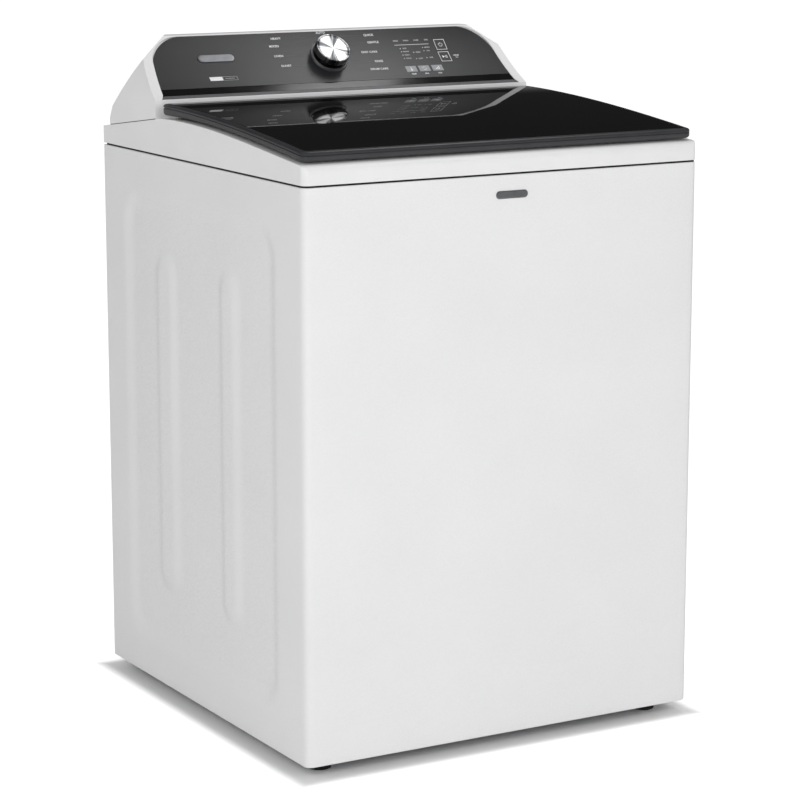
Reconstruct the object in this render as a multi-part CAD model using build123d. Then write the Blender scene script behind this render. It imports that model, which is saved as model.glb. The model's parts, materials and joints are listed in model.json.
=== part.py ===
from build123d import *
import os
from math import atan2, cos, degrees, radians, sin, sqrt

# overall size
width = 698.5
cab_depth = 703.0
rear_reach = 5.0
cab_bottom = 20.0
cab_top = 897.0
seam = 3.0
console_rise = 180.0

# cabinet sheet
sheet = 0.9
corner_r = 12.0
flange_w = 28.0
side_recess = 5.0
side_rib = 3.5
rear_dish = 12.2
gusset_t = 3.0

# top deck and lid
plastic = 2.5
lid_gap = 3.5
hinge_back = 10.0
hinge_rise = 66.0
hinge_pin_r = 4.0
run_gap = 0.05
opening_half_w = 232.0
opening_r = 110.0
glass_t = 4.0
glass_margin = 9.0

# console
console_depth = 203.0
fascia_start = 84.4
fascia_chord = 135.1
fascia_sag = 6.7
fascia_t = 2.5
fascia_down = 0.6
knob_t = 82.0
knob_r = 30.0
knob_rise = 22.0
button_gap = 0.4

# tub, basket and wash system
tub_r = 298.0
tub_wall = 3.0
tub_bottom = 248.0
tub_head = 29.0
basket_gap = 22.0
basket_wall = 1.2
basket_bottom = 268.0
balance_w = 36.0
balance_h = 62.0
plate_gap = 51.0
plate_z = 280.0
post_top = 690.0
shaft_r = 11.0
sleeve_r = 20.0
bearing_r = 32.0
gearcase_r = 70.0
gearcase_z = 150.0

# drive and drain
pulley_r = 115.0
pulley_z = 100.0
pulley_t = 18.0
motor_x = -150.0
motor_dy = -140.0
motor_r = 62.0
motor_pulley_r = 20.0
belt_t = 3.0
pump_x = 150.0
pump_dy = -150.0
pump_r = 45.0
hose_r = 13.0
hose_wall = 2.5

# suspension, feet and rear fittings
rod_off_x = 262.0
rod_off_y = 258.0
rod_r = 5.0
spring_low = 300.0
spring_high = 430.0
spring_wire = 2.0
spring_r = 14.0
foot_inset = 49.0
foot_r = 18.0
stem_r = 5.0
port_r = 13.49
port_x = -70.0
port_gap = 50.0
port_drop = 42.0
collar_step = 1.5
collar_proud = 0.4
outlet_x = 285.0
outlet_z = 780.0
outlet_r = 12.7
gland_x = 200.0
gland_bore_r = 4.2

# values that follow from the sizes above
half_w = width / 2
front_y = -(cab_depth + rear_reach) / 2
rear_y = front_y + cab_depth
tip_y = rear_y + rear_reach
deck_z = cab_top + seam
drum_y = (front_y + rear_y) / 2 - 8
tub_top = cab_top - tub_head
basket_r = tub_r - basket_gap
balance_in_r = basket_r - balance_w
plate_r = basket_r - plate_gap
gusset_z = cab_top - 17
console_y = rear_y - console_depth
lid_rear = console_y - 10.5
lid_front = front_y + 10.5
hinge_y = lid_rear - hinge_back
hinge_z = deck_z + hinge_rise
motor_y = drum_y + motor_dy
pump_y = drum_y + pump_dy
panel_y = rear_y + 0.8 - rear_dish

fascia_angle = atan2(94.6, 96.5)
slope = (0, cos(fascia_angle), sin(fascia_angle))
outward = (0, -sin(fascia_angle), cos(fascia_angle))
fascia_z = deck_z + fascia_start
arc_r = (fascia_chord ** 2 / 4 + fascia_sag ** 2) / (2 * fascia_sag)
fascia_plane = Plane(origin=(0, console_y, fascia_z), x_dir=(1, 0, 0), z_dir=outward)

lid_top_shape = [
    (0.0, 48.6), (0.169, 56.9), (0.317, 64.5), (0.472, 70.3),
    (0.628, 75.0), (0.757, 78.4), (0.899, 81.0), (1.0, 80.9),
]
lid_under_shape = [
    (0.0, 32.8), (0.196, 42.5), (0.4405, 53.3), (0.60, 58.8),
    (0.718, 61.4), (0.86, 62.4), (1.0, 62.0),
]


# ---------- small helpers ----------

def block(x0, x1, y0, y1, z0, z1):
    place = Pos((x0 + x1) / 2, (y0 + y1) / 2, (z0 + z1) / 2)
    return place * Box(x1 - x0, y1 - y0, z1 - z0)


def post(x, y, z0, z1, r):
    return Pos(x, y, (z0 + z1) / 2) * Cylinder(r, z1 - z0)


def ring(x, y, z0, z1, r_out, r_in):
    return post(x, y, z0, z1, r_out) - post(x, y, z0 - 1, z1 + 1, r_in)


def slab(x0, x1, y0, y1, z0, z1, r):
    shape = Pos((x0 + x1) / 2, (y0 + y1) / 2, z0) * RectangleRounded(x1 - x0, y1 - y0, r)
    return extrude(shape, amount=z1 - z0)


def rod_y(x, z, y0, y1, r):
    plane = Plane(origin=(x, y0, z), x_dir=(1, 0, 0), z_dir=(0, 1, 0))
    return extrude(plane * Circle(r), amount=y1 - y0)


def rod_x(y, z, x0, x1, r):
    plane = Plane(origin=(x0, y, z), x_dir=(0, 1, 0), z_dir=(1, 0, 0))
    return extrude(plane * Circle(r), amount=x1 - x0)


def along_x(edges, x0, x1):
    return extrude(make_face(edges), amount=x1 - x0, dir=(1, 0, 0))


def at_slope(x, t, h):
    return Location(fascia_plane) * Pos(x, t, h)


def slope_rod(x, t, h0, h1, r):
    return at_slope(x, t, (h0 + h1) / 2) * Cylinder(r, h1 - h0)


def slope_box(x0, x1, t0, t1, h0, h1):
    place = at_slope((x0 + x1) / 2, (t0 + t1) / 2, (h0 + h1) / 2)
    return place * Box(x1 - x0, t1 - t0, h1 - h0)


def curve_height(shape, y):
    f = (y - lid_front) / (lid_rear - lid_front)
    f = min(max(f, 0.0), 1.0)
    for (f0, z0), (f1, z1) in zip(shape, shape[1:]):
        if f <= f1:
            return deck_z + z0 + (z1 - z0) * (f - f0) / (f1 - f0)
    return deck_z + shape[-1][1]


def seam_height(y):
    return deck_z + 57.6 - 0.135 * (y - (console_y - 15.5))


def mirrored(solid):
    return mirror(solid, about=Plane.YZ)


def corners():
    return [(sx, sy) for sx in (-1, 1) for sy in (-1, 1)]


# ---------- cabinet ----------

def tapered_pad(y0, y1, z0, z1, r0, step, x0, x1):
    plane0 = Plane(origin=(x0, (y0 + y1) / 2, (z0 + z1) / 2), x_dir=(0, 1, 0), z_dir=(1, 0, 0))
    plane1 = Plane(origin=(x1, (y0 + y1) / 2, (z0 + z1) / 2), x_dir=(0, 1, 0), z_dir=(1, 0, 0))
    first = plane0 * RectangleRounded(y1 - y0, z1 - z0, r0)
    second = plane1 * RectangleRounded(y1 - y0 - 2 * step, z1 - z0 - 2 * step, r0 - step)
    return loft([first, second], ruled=True)


def side_form(inward):
    x0 = half_w - inward
    z0 = cab_bottom + 58
    z1 = cab_top - 58
    y0 = front_y + 87
    y1 = rear_y - 71
    dent = tapered_pad(y0, y1, z0, z1, 62, 26, x0, x0 - side_recess)
    dent += tapered_pad(y0 - 3, y1 + 3, z0 - 3, z1 + 3, 65, 3, x0 + 0.6, x0)
    for low, high in ((0.235, 0.38), (0.64, 0.80)):
        ya = y0 + (y1 - y0) * low
        yb = y0 + (y1 - y0) * high
        floor = x0 - side_recess
        rib = tapered_pad(ya, yb, z0 + 98, z1 - 92, 30, 18, floor, floor + side_rib)
        dent -= rib
    return dent


def cabinet_shell():
    outer = slab(-half_w, half_w, front_y, rear_y, cab_bottom, cab_top, corner_r)
    outer = outer + block(-half_w, half_w, rear_y - 40, rear_y, cab_bottom, cab_top)
    dent = side_form(0)
    outer = outer - dent - mirrored(dent)
    s = sheet
    inner = slab(-half_w + s, half_w - s, front_y + s, rear_y - s, cab_bottom + s, cab_top - s, corner_r - s)
    inner = inner + block(-half_w + s, half_w - s, rear_y - 40, rear_y - s, cab_bottom + s, cab_top - s)
    dent = side_form(s)
    inner = inner - dent - mirrored(dent)
    shell = outer - inner
    shell -= slab(-half_w + 22, half_w - 22, front_y + 22, rear_y - 22, cab_top - 5, cab_top + 5, 8)
    shell -= slab(-half_w + 18, half_w - 18, front_y + 18, rear_y - 18, cab_bottom - 5, cab_bottom + 5, 8)
    w = half_w - flange_w
    shell -= block(-w, w, rear_y - 5, rear_y + 5, cab_bottom + 25, cab_top - 25)
    for sx, sy in corners():
        shell += gusset(sx, sy)
    for x, z in panel_screw_spots():
        shell -= rod_y(x, z, rear_y - 5, rear_y + 5, 2.0)
    return shell


def gusset(sx, sy):
    cx = sx * (half_w - sheet)
    cy = rear_y - sheet if sy > 0 else front_y + sheet
    rx = sx * rod_off_x
    ry = drum_y + sy * rod_off_y
    leg = abs(cx - rx) + abs(cy - ry) + 32
    cut = corner_r if sy < 0 else 0.0
    pts = [(cx - sx * cut, cy), (cx - sx * leg, cy), (cx, cy - sy * leg), (cx, cy - sy * cut)]
    if cut == 0.0:
        pts = pts[:3]
    plate = extrude(Pos(0, 0, gusset_z) * Polygon(*pts, align=None), amount=gusset_t, dir=(0, 0, 1))
    return plate - post(rx, ry, gusset_z - 1, gusset_z + gusset_t + 1, rod_r)


def panel_screw_spots():
    x = half_w - 14
    z0 = cab_bottom + 70
    z1 = cab_top - 60
    heights = [z0, z0 + (z1 - z0) / 3, z0 + 2 * (z1 - z0) / 3, z1]
    spots = [(s * x, z) for s in (-1, 1) for z in heights]
    spots += [(s * half_w * 0.45, cab_top - 12) for s in (-1, 1)]
    spots += [(s * half_w * 0.45, cab_bottom + 12) for s in (-1, 1)]
    return spots


def rear_panel():
    def form(y_face, grow):
        z0 = cab_bottom + 29 - grow
        z1 = cab_top - 29 + grow
        w = half_w - flange_w - 4 + grow
        first = Plane(origin=(0, y_face, (z0 + z1) / 2), x_dir=(1, 0, 0), z_dir=(0, -1, 0))
        second = Plane(origin=(0, y_face - rear_dish, (z0 + z1) / 2), x_dir=(1, 0, 0), z_dir=(0, -1, 0))
        big = first * RectangleRounded(2 * w, z1 - z0, 30)
        small = second * RectangleRounded(2 * w - 24, z1 - z0 - 24, 18)
        return loft([big, small], ruled=True)
    t = 0.8
    plate = slab_y(-half_w + 3, half_w - 3, cab_bottom + 3, cab_top - 3, rear_y, rear_y + t, 6)
    dish_out = form(rear_y + t, 0)
    dish_in = form(rear_y, 0.7)
    panel = plate + dish_in - dish_out
    for x in port_spots():
        panel -= rod_y(x, cab_top - port_drop, rear_y - 30, rear_y + 5, port_r + collar_step + run_gap)
    panel -= rod_y(outlet_x, outlet_z, rear_y - 30, rear_y + 5, outlet_r + collar_step + run_gap)
    panel -= rod_y(gland_x, outlet_z, rear_y - 30, rear_y + 5, 8.0)
    for x, z in panel_screw_spots():
        panel -= rod_y(x, z, rear_y - 5, rear_y + 5, 2.0)
    return panel


def slab_y(x0, x1, z0, z1, y0, y1, r):
    plane = Plane(origin=((x0 + x1) / 2, y0, (z0 + z1) / 2), x_dir=(1, 0, 0), z_dir=(0, -1, 0))
    return extrude(plane * RectangleRounded(x1 - x0, z1 - z0, r), amount=-(y1 - y0))


def port_spots():
    return [port_x - port_gap / 2, port_x + port_gap / 2]


def screws():
    parts = []
    for x, z in panel_screw_spots():
        shank = rod_y(x, z, rear_y - 6, rear_y + 0.8, 2.0)
        parts.append(shank + rod_y(x, z, rear_y + 0.8, rear_y + 3, 4.5))
    plane = console_back_plane()
    for x, t in cover_screw_spots():
        parts.append(plane.location * Pos(x, t, -1.5) * Cylinder(2.0, 7.0)
                     + plane.location * Pos(x, t, 3.1) * Cylinder(4.5, 2.2))
    return parts


def base_frame():
    w = half_w - 3
    y0 = front_y + 3
    y1 = rear_y - 3
    z0 = cab_bottom + sheet
    frame = slab(-w, w, y0, y1, z0, z0 + 2.5, corner_r - 3)
    frame -= slab(-w + 84, w - 84, y0 + 84, y1 - 84, z0 - 1, z0 + 5, 40)
    lip = slab(-w + 81.5, w - 81.5, y0 + 81.5, y1 - 81.5, z0, z0 + 24, 42.5)
    lip -= slab(-w + 84, w - 84, y0 + 84, y1 - 84, z0 - 1, z0 + 30, 40)
    frame += lip
    for x, y in foot_spots():
        frame -= post(x, y, z0 - 1, z0 + 5, stem_r + 1)
    return frame


def foot_spots():
    y0 = front_y + 54
    y1 = rear_y - foot_inset
    x = half_w - foot_inset
    return [(-x, y0), (x, y0), (-x, y1), (x, y1)]


def hexagon(x, y, z0, z1, flats):
    return extrude(Pos(x, y, z0) * RegularPolygon(flats / sqrt(3), 6), amount=z1 - z0)


def foot_nuts():
    z0 = cab_bottom + sheet + 2.5
    hole = stem_r + run_gap
    return [hexagon(x, y, z0, z0 + 8, 17) - post(x, y, z0 - 1, z0 + 9, hole) for x, y in foot_spots()]


def foot(x, y):
    pad = post(x, y, 0, 11, foot_r)
    pad = fillet(pad.edges().group_by(Axis.Z)[0], 1.5)
    pad = pad + post(x, y, 11, 14, foot_r - 5)
    return pad + hexagon(x, y, 14, 18, 17) + post(x, y, 18, 72, stem_r)


# ---------- suspension ----------

def rod_spots():
    return [(sx * rod_off_x, drum_y + sy * rod_off_y) for sx, sy in corners()]


def suspension_rods():
    parts = []
    top = gusset_z + gusset_t
    for x, y in rod_spots():
        ball = Pos(x, y, top) * Sphere(9) - block(x - 20, x + 20, y - 20, y + 20, top - 20, top)
        rod = post(x, y, spring_low - 6, top, rod_r) + ball
        rod += post(x, y, spring_low - 6, spring_low, 20)
        parts.append(rod)
    return parts


def suspension_springs():
    z0 = spring_low + spring_wire
    z1 = spring_high - spring_wire
    helix = Helix(pitch=(z1 - z0) / 6, height=z1 - z0, radius=spring_r)
    section = Plane(origin=helix @ 0, z_dir=helix % 0) * Circle(spring_wire)
    coil = sweep(section, path=helix, is_frenet=True)
    return [Pos(x, y, z0) * coil for x, y in rod_spots()]


# ---------- tub ----------

def outer_tub():
    tub = post(0, drum_y, tub_bottom, tub_top, tub_r)
    tub -= post(0, drum_y, tub_bottom + 5, tub_top + 1, tub_r - tub_wall)
    tub += ring(0, drum_y, tub_top - 8, tub_top, tub_r + 8, tub_r - tub_wall)
    tub -= post(0, drum_y, tub_bottom - 1, tub_bottom + 6, 40)
    tub -= post(pump_x, pump_y, tub_bottom - 1, tub_bottom + 6, 15)
    for x, y in rod_spots():
        angle = degrees(atan2(y - drum_y, x))
        reach = sqrt(x ** 2 + (y - drum_y) ** 2)
        near = tub_r - 2
        ear = Pos((near + reach + 18) / 2, 0, spring_high + 6) * Box(reach + 18 - near, 44, 12)
        web = Pos((near + reach - 22) / 2, 0, spring_high + 32) * Box(reach - 22 - near, 6, 42)
        ear = Pos(0, drum_y, 0) * Rot(0, 0, angle) * (ear + web)
        ear -= post(0, drum_y, spring_high - 40, spring_high + 90, tub_r - 1)
        ear -= post(x, y, spring_high - 1, spring_high + 13, rod_r + 3)
        tub += ear
    return tub


def tub_ring():
    return ring(0, drum_y, tub_top, tub_top + 8, tub_r + 8, 262)


def gearcase():
    case = post(0, drum_y, gearcase_z, tub_bottom, gearcase_r)
    case += post(0, drum_y, tub_bottom, tub_bottom + 14, 40)
    case -= post(0, drum_y, 190, tub_bottom + 15, bearing_r)
    case -= post(0, drum_y, gearcase_z - 1, 185, 8 + run_gap)
    return case


def tub_bearings():
    return [ring(0, drum_y, z, z + 14, bearing_r, sleeve_r + run_gap) for z in (195, tub_bottom - 4)]


def shift_actuator():
    body = block(58, 112, drum_y - 22, drum_y + 22, 168, 226)
    body += block(72, 98, drum_y - 14, drum_y + 14, 226, 240)
    return body - post(0, drum_y, gearcase_z - 1, tub_bottom + 1, gearcase_r)


def motor_housing():
    body = post(motor_x, motor_y, 140, 236, motor_r)
    body = chamfer(body.edges().group_by(Axis.Z)[0], 6)
    for k in range(3):
        place = Pos(motor_x, motor_y, 241) * Rot(0, 0, 30 + 120 * k) * Pos(48, 0, 0)
        body += place * Cylinder(8, 14)
    body -= post(motor_x, motor_y, 148, 230, motor_r - 5)
    return body - post(motor_x, motor_y, 100, 240, 7 + run_gap)


def motor_rotor():
    body = post(motor_x, motor_y, 156, 222, motor_r - 14)
    body += post(motor_x, motor_y, pulley_z, 234, 7)
    body += post(motor_x, motor_y, pulley_z + 3, pulley_z + 15, motor_pulley_r)
    for z in (pulley_z, pulley_z + pulley_t - 3):
        body += post(motor_x, motor_y, z, z + 3, motor_pulley_r + 5)
    return body


def drive_pulley():
    body = post(0, drum_y, pulley_z, pulley_z + pulley_t, pulley_r + 4)
    body -= ring(0, drum_y, pulley_z + 3, pulley_z + pulley_t - 3, pulley_r + 6, pulley_r)
    body -= ring(0, drum_y, pulley_z + 5, pulley_z + pulley_t + 1, pulley_r - 9, 24)
    for k in range(6):
        place = Pos(0, drum_y, pulley_z + 2) * Rot(0, 0, 60 * k) * Pos(64, 0, 0)
        body -= place * Cylinder(19, 20)
    return body + post(0, drum_y, pulley_z + pulley_t, 183, 8)


def belt_loop(grow):
    big = Pos(0, drum_y) * Circle(pulley_r + grow)
    small = Pos(motor_x, motor_y) * Circle(motor_pulley_r + grow)
    return make_hull(big.edges() + small.edges())


def drive_belt():
    outer = extrude(Pos(0, 0, pulley_z + 4) * belt_loop(0.35 + belt_t), amount=pulley_t - 8)
    inner = extrude(Pos(0, 0, pulley_z) * belt_loop(0.35), amount=pulley_t)
    return outer - inner


def pump_housing():
    body = post(pump_x, pump_y, 178, 240, pump_r)
    body += post(pump_x, pump_y, 240, tub_bottom, 22)
    body += post(pump_x, pump_y, 138, 178, 32)
    body += rod_x(pump_y, 200, pump_x, pump_x + 72, hose_r - hose_wall)
    body -= rod_x(pump_y, 200, pump_x, pump_x + 80, hose_r - hose_wall - 2.5)
    body -= post(pump_x, pump_y, 186, 234, pump_r - 4)
    body -= post(pump_x, pump_y, 230, 260, 15)
    return body - post(pump_x, pump_y, 160, 190, 4 + run_gap)


def pump_impeller():
    body = post(pump_x, pump_y, 162, 226, 4) + post(pump_x, pump_y, 192, 195, 34)
    for k in range(6):
        body += Pos(pump_x, pump_y, 208) * Rot(0, 0, 60 * k) * Pos(18, 0, 0) * Box(30, 2.5, 26)
    return body


# ---------- basket and wash system ----------

def wash_basket():
    top = tub_top - 6 - balance_h
    body = post(0, drum_y, basket_bottom, top, basket_r)
    body = fillet(body.edges().group_by(Axis.Z)[0], 14)
    inner = post(0, drum_y, basket_bottom + basket_wall, top + 1, basket_r - basket_wall)
    inner = fillet(inner.edges().group_by(Axis.Z)[0], 14 - basket_wall)
    return body - inner - post(0, drum_y, basket_bottom - 1, basket_bottom + 6, 30)


def balance_ring():
    z0 = tub_top - 6 - balance_h
    body = ring(0, drum_y, z0, z0 + balance_h, basket_r + 2, balance_in_r)
    body = fillet(body.edges().filter_by(GeomType.CIRCLE).group_by(Axis.Z)[-1], 8)
    return body


def basket_hub():
    body = post(0, drum_y, basket_bottom - 5, basket_bottom, 110)
    for k in range(3):
        arm = Pos(0, drum_y, basket_bottom - 2.5) * Rot(0, 0, 120 * k) * Pos(160, 0, 0) * Box(160, 60, 5)
        body += arm
    body += post(0, drum_y, basket_bottom, basket_bottom + 9, 30)
    body += post(0, drum_y, 192, basket_bottom, sleeve_r)
    return body - post(0, drum_y, 190, basket_bottom + 20, shaft_r + run_gap)


def drive_shaft():
    return post(0, drum_y, 193, plate_z + 54, shaft_r)


def wash_plate():
    dish = post(0, drum_y, plate_z, plate_z + 12, plate_r)
    dish = chamfer(dish.edges().group_by(Axis.Z)[-1], 6)
    dish -= ring(0, drum_y, plate_z - 1, plate_z + 6, plate_r - 8, 40)
    for k in range(6):
        fin = Rot(0, 0, 60 * k) * Pos(157, 0, plate_z + 25) * Box(106, 16, 34)
        fin = chamfer(fin.edges().group_by(Axis.Z)[-1], 5)
        dish += Pos(0, drum_y, 0) * fin
    dish += post(0, drum_y, plate_z, plate_z + 30, 36)
    for k in range(24):
        hole = Pos(0, drum_y, plate_z + 6) * Rot(0, 0, 15 * k + 7.5)
        dish -= hole * Pos(200, 0, 0) * Cylinder(3.5, 20)
    return dish - post(0, drum_y, plate_z - 1, plate_z + 40, shaft_r)


def agitator_post():
    foot_z = plate_z + 12
    lower = Pos(0, drum_y, foot_z) * extrude_cone(94, 44, 96)
    body = lower + post(0, drum_y, foot_z + 96, post_top, 38)
    body += post(0, drum_y, post_top - 46, post_top, 44)
    for k in range(4):
        vane = Rot(0, 0, 90 * k) * Pos(52, 0, foot_z + 172) * Box(50, 5, 300)
        body += Pos(0, drum_y, 0) * vane
    for k in range(4):
        vane = Rot(0, 0, 45 + 90 * k) * Pos(62, 0, foot_z + 37) * Box(60, 6, 74)
        body += Pos(0, drum_y, 0) * vane
    hollow = Pos(0, drum_y, foot_z) * extrude_cone(90, 40, 96)
    body -= hollow
    body -= post(0, drum_y, foot_z - 1, post_top - 12, 35)
    web = ring(0, drum_y, plate_z + 34, plate_z + 38, 79, 13)
    return body + web


def extrude_cone(r0, r1, h):
    return Pos(0, 0, h / 2) * Cone(r0, r1, h)


def softener_cap():
    body = post(0, drum_y, post_top, post_top + 42, 43)
    body = fillet(body.edges().group_by(Axis.Z)[-1], 12)
    body -= post(0, drum_y, post_top + 18, post_top + 50, 26)
    return body - post(0, drum_y, post_top - 1, post_top + 14, 38)


# ---------- top deck ----------

def deck_form(inset, low):
    x0 = -half_w + inset
    ya = front_y + inset
    yb = rear_y - inset
    bend = 14.5 - inset
    points = []
    for k in range(9):
        f = k / 8
        y = ya + bend + (console_y - 15.5 - ya - bend) * f
        points.append((x0, y, curve_height(lid_under_shape, y) - lid_gap - inset))
    points[-1] = (x0, console_y - 15.5, seam_height(console_y - 15.5) - inset)
    first = points[0]
    mid = (x0, ya + bend * 0.29, first[2] - bend * 0.30)
    edges = [
        Polyline((x0, yb, seam_height(yb) - inset), (x0, yb, low), (x0, ya, low), (x0, ya, first[2] - bend)),
        ThreePointArc((x0, ya, first[2] - bend), mid, first),
        Spline(*points),
        Line(points[-1], (x0, yb, seam_height(yb) - inset)),
    ]
    form = along_x(edges, x0, -x0)
    plan = slab(-half_w + inset, half_w - inset, ya, yb, low - 1, deck_z + 100, corner_r - inset)
    plan += block(-half_w + inset, half_w - inset, yb - 40, yb, low - 1, deck_z + 100)
    return form & plan


def opening_prism(grow, z0, z1):
    y0 = front_y + 67
    y1 = lid_rear - 32.5
    return slab(-opening_half_w - grow, opening_half_w + grow, y0 - grow, y1 + grow, z0, z1, opening_r + grow)


def cup_center():
    return (-half_w + 72, front_y + 166)


def lock_center():
    return (half_w - 64, front_y + 119)


def trough(grow):
    return block(-half_w + 5.5 - grow, half_w - 5.5 + grow, hinge_y - 16 - grow, console_y - 3 + grow,
                 deck_z + 51 - grow, deck_z + 90)


def top_deck():
    outer = deck_form(0, deck_z)
    deck = outer - deck_form(plastic, deck_z - 5)
    skirt = opening_prism(plastic, deck_z - 10, deck_z + 90) & (outer + block(
        -half_w, half_w, front_y, rear_y, deck_z - 10, deck_z))
    deck += skirt
    deck += trough(2.2) & outer
    cx, cy = cup_center()
    deck += slab(cx - 40, cx + 40, cy - 46, cy + 46, deck_z + 37, deck_z + 80, 10) & outer
    lx, ly = lock_center()
    deck += block(lx - 30, lx + 30, ly - 24, ly + 24, deck_z + 30, deck_z + 80) & outer
    seat = slab(-half_w + 6, half_w - 6, front_y + 6, rear_y - 6, cab_top, deck_z + 3, corner_r - 6)
    seat -= slab(-half_w + 16, half_w - 16, front_y + 16, rear_y - 16, cab_top - 1, deck_z + 5, 4)
    link = slab(-half_w + 1, half_w - 1, front_y + 1, rear_y - 1, deck_z, deck_z + 3, corner_r - 1)
    link -= slab(-half_w + 16, half_w - 16, front_y + 16, rear_y - 16, deck_z - 1, deck_z + 5, 4)
    deck += seat + link
    deck -= opening_prism(0, deck_z - 20, deck_z + 100)
    deck -= trough(0)
    deck -= slab(cx - 37, cx + 37, cy - 43, cy + 43, deck_z + 40, deck_z + 90, 9)
    deck -= slab(cx - 29, cx + 29, cy - 35, cy + 35, deck_z, deck_z + 90, 8)
    deck -= block(lx - 9, lx + 9, ly - 8, ly + 6, deck_z, deck_z + 90)
    spout_y = lid_rear - 32.5
    deck -= rod_y(port_x, deck_z + 7, spout_y - 5, spout_y + 10, 9)
    deck -= slab(60, 120, console_y + 30, console_y + 60, deck_z, deck_z + 90, 10)
    return deck


def bleach_dispenser():
    cx, cy = cup_center()
    body = slab(cx - 36.5, cx + 36.5, cy - 42.5, cy + 42.5, deck_z + 40, deck_z + 42, 8.5)
    body += slab(cx - 28.5, cx + 28.5, cy - 34.5, cy + 34.5, deck_z + 2, deck_z + 42, 7.5)
    body -= slab(cx - 26.5, cx + 26.5, cy - 32.5, cy + 32.5, deck_z + 4, deck_z + 50, 5.5)
    return body - post(cx + 15, cy, deck_z - 1, deck_z + 6, 5)


def water_spout():
    y0 = lid_rear - 32.5
    z = deck_z + 7
    body = rod_y(port_x, z, y0 - 12, y0 + plastic, 9) + rod_y(port_x, z, y0 + plastic, y0 + plastic + 3, 14)
    body += rod_y(port_x, z, y0 + plastic, y0 + 40, 6)
    body -= rod_y(port_x, z, y0 - 12 + 3, y0 + 41, 4)
    return body - block(port_x - 6, port_x + 6, y0 - 13, y0 - 4, z - 20, z)


def fill_hose():
    y0 = lid_rear - 32.5 + plastic + 4
    z = deck_z + 7
    y1 = panel_y - 24
    path = FilletPolyline((port_x, y0, z), (port_x, y1, z), (port_x, y1, cab_top - 15), radius=16)
    start = Plane(origin=(port_x, y0, z), x_dir=(1, 0, 0), z_dir=(0, 1, 0))
    outer = sweep(start * Circle(8), path=path)
    inner = sweep(start * Circle(6), path=path)
    return outer - inner


def inlet_valve():
    z = cab_top - port_drop
    y0 = panel_y - 0.8
    body = block(port_x - 48, port_x + 48, y0 - 2.5, y0, z - 22, z + 18)
    body += block(port_x - 42, port_x + 42, y0 - 34, y0 - 2.5, z - 16, z + 12)
    body += post(port_x, panel_y - 24, z + 12, cab_top - 7, 6)
    body -= post(port_x, panel_y - 24, z, cab_top, 4)
    for x in port_spots():
        body += rod_y(x, z, y0 - 5, panel_y + collar_proud, port_r + collar_step)
        body += rod_y(x, z, y0 - 5, tip_y, port_r)
        body -= rod_y(x, z, y0 - 20, tip_y + 1, 9.5)
    return body


def cord_gland():
    y0 = panel_y
    z = outlet_z
    body = rod_y(gland_x, z, y0 - 8, y0 + 10, 8) + rod_y(gland_x, z, y0, y0 + 4, 12)
    body += rod_y(gland_x, z, y0 - 4.8, y0 - 0.8, 11)
    return body - rod_y(gland_x, z, y0 - 10, y0 + 12, gland_bore_r)


def drain_outlet():
    y0 = panel_y
    body = rod_y(outlet_x, outlet_z, y0 - 8, tip_y, hose_r - hose_wall)
    body += rod_y(outlet_x, outlet_z, y0 - 3.8, tip_y, outlet_r)
    body += rod_y(outlet_x, outlet_z, y0 - 3.8, y0 + collar_proud, outlet_r + collar_step)
    body += rod_y(outlet_x, outlet_z, y0 - 3.8, y0 - 0.8, 17)
    return body - rod_y(outlet_x, outlet_z, y0 - 25, tip_y + 1, 8)


def drain_hose():
    x0 = pump_x + pump_r + 8
    y1 = panel_y - 36
    y2 = panel_y - 5
    pts = [(x0, pump_y, 200), (outlet_x, pump_y, 200), (outlet_x, y1, 200),
           (outlet_x, y1, outlet_z), (outlet_x, y2, outlet_z)]
    path = FilletPolyline(*pts, radius=28)
    start = Plane(origin=(x0, pump_y, 200), x_dir=(0, 1, 0), z_dir=(1, 0, 0))
    outer = sweep(start * Circle(hose_r), path=path)
    inner = sweep(start * Circle(hose_r - hose_wall), path=path)
    return outer - inner


# ---------- lid ----------

def lid_edges(x0, top_drop, under_lift, front, rear):
    def pts(shape, shift):
        out = []
        for k in range(9):
            y = front + (rear - front) * k / 8
            out.append((x0, y, curve_height(shape, y) + shift))
        return out
    top = pts(lid_top_shape, -top_drop)
    under = pts(lid_under_shape, under_lift)
    return [Spline(*top), Line(top[-1], under[-1]), Spline(*under), Line(under[0], top[0])]


def lid_plan(inset, z0, z1):
    w_rear = half_w - 6.2 - inset
    w_front = half_w - 4.0 - inset
    y0 = lid_front + inset
    y1 = lid_rear - inset
    shape = Polygon((-w_front, y0), (w_front, y0), (w_rear, y1), (-w_rear, y1), align=None)
    front = shape.vertices().group_by(Axis.Y)[0]
    shape = fillet(front, max(20 - inset, 4))
    rear = shape.vertices().group_by(Axis.Y)[-1]
    shape = fillet(rear, max(9 - inset * 0.5, 3))
    return extrude(Pos(0, 0, z0) * shape, amount=z1 - z0, dir=(0, 0, 1))


def lid_slab():
    body = along_x(lid_edges(-half_w, 0, 0, lid_front - 1, lid_rear + 1), -half_w, half_w)
    return body & lid_plan(0, deck_z, deck_z + 120)


def glass_plate(grow):
    inset = glass_margin - grow
    form = along_x(lid_edges(-half_w, 0.4, 0, lid_front - 1, lid_rear + 1), -half_w, half_w)
    edges = lid_edges(-half_w, 0.4 + glass_t, -40, lid_front - 2, lid_rear + 2)
    low = along_x(edges, -half_w - 1, half_w + 1)
    return (form - low) & lid_plan(inset, deck_z, deck_z + 120)


def hinge_spots():
    x = half_w - 42
    return [-x, x]


def lid_glass():
    return glass_plate(0)


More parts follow.
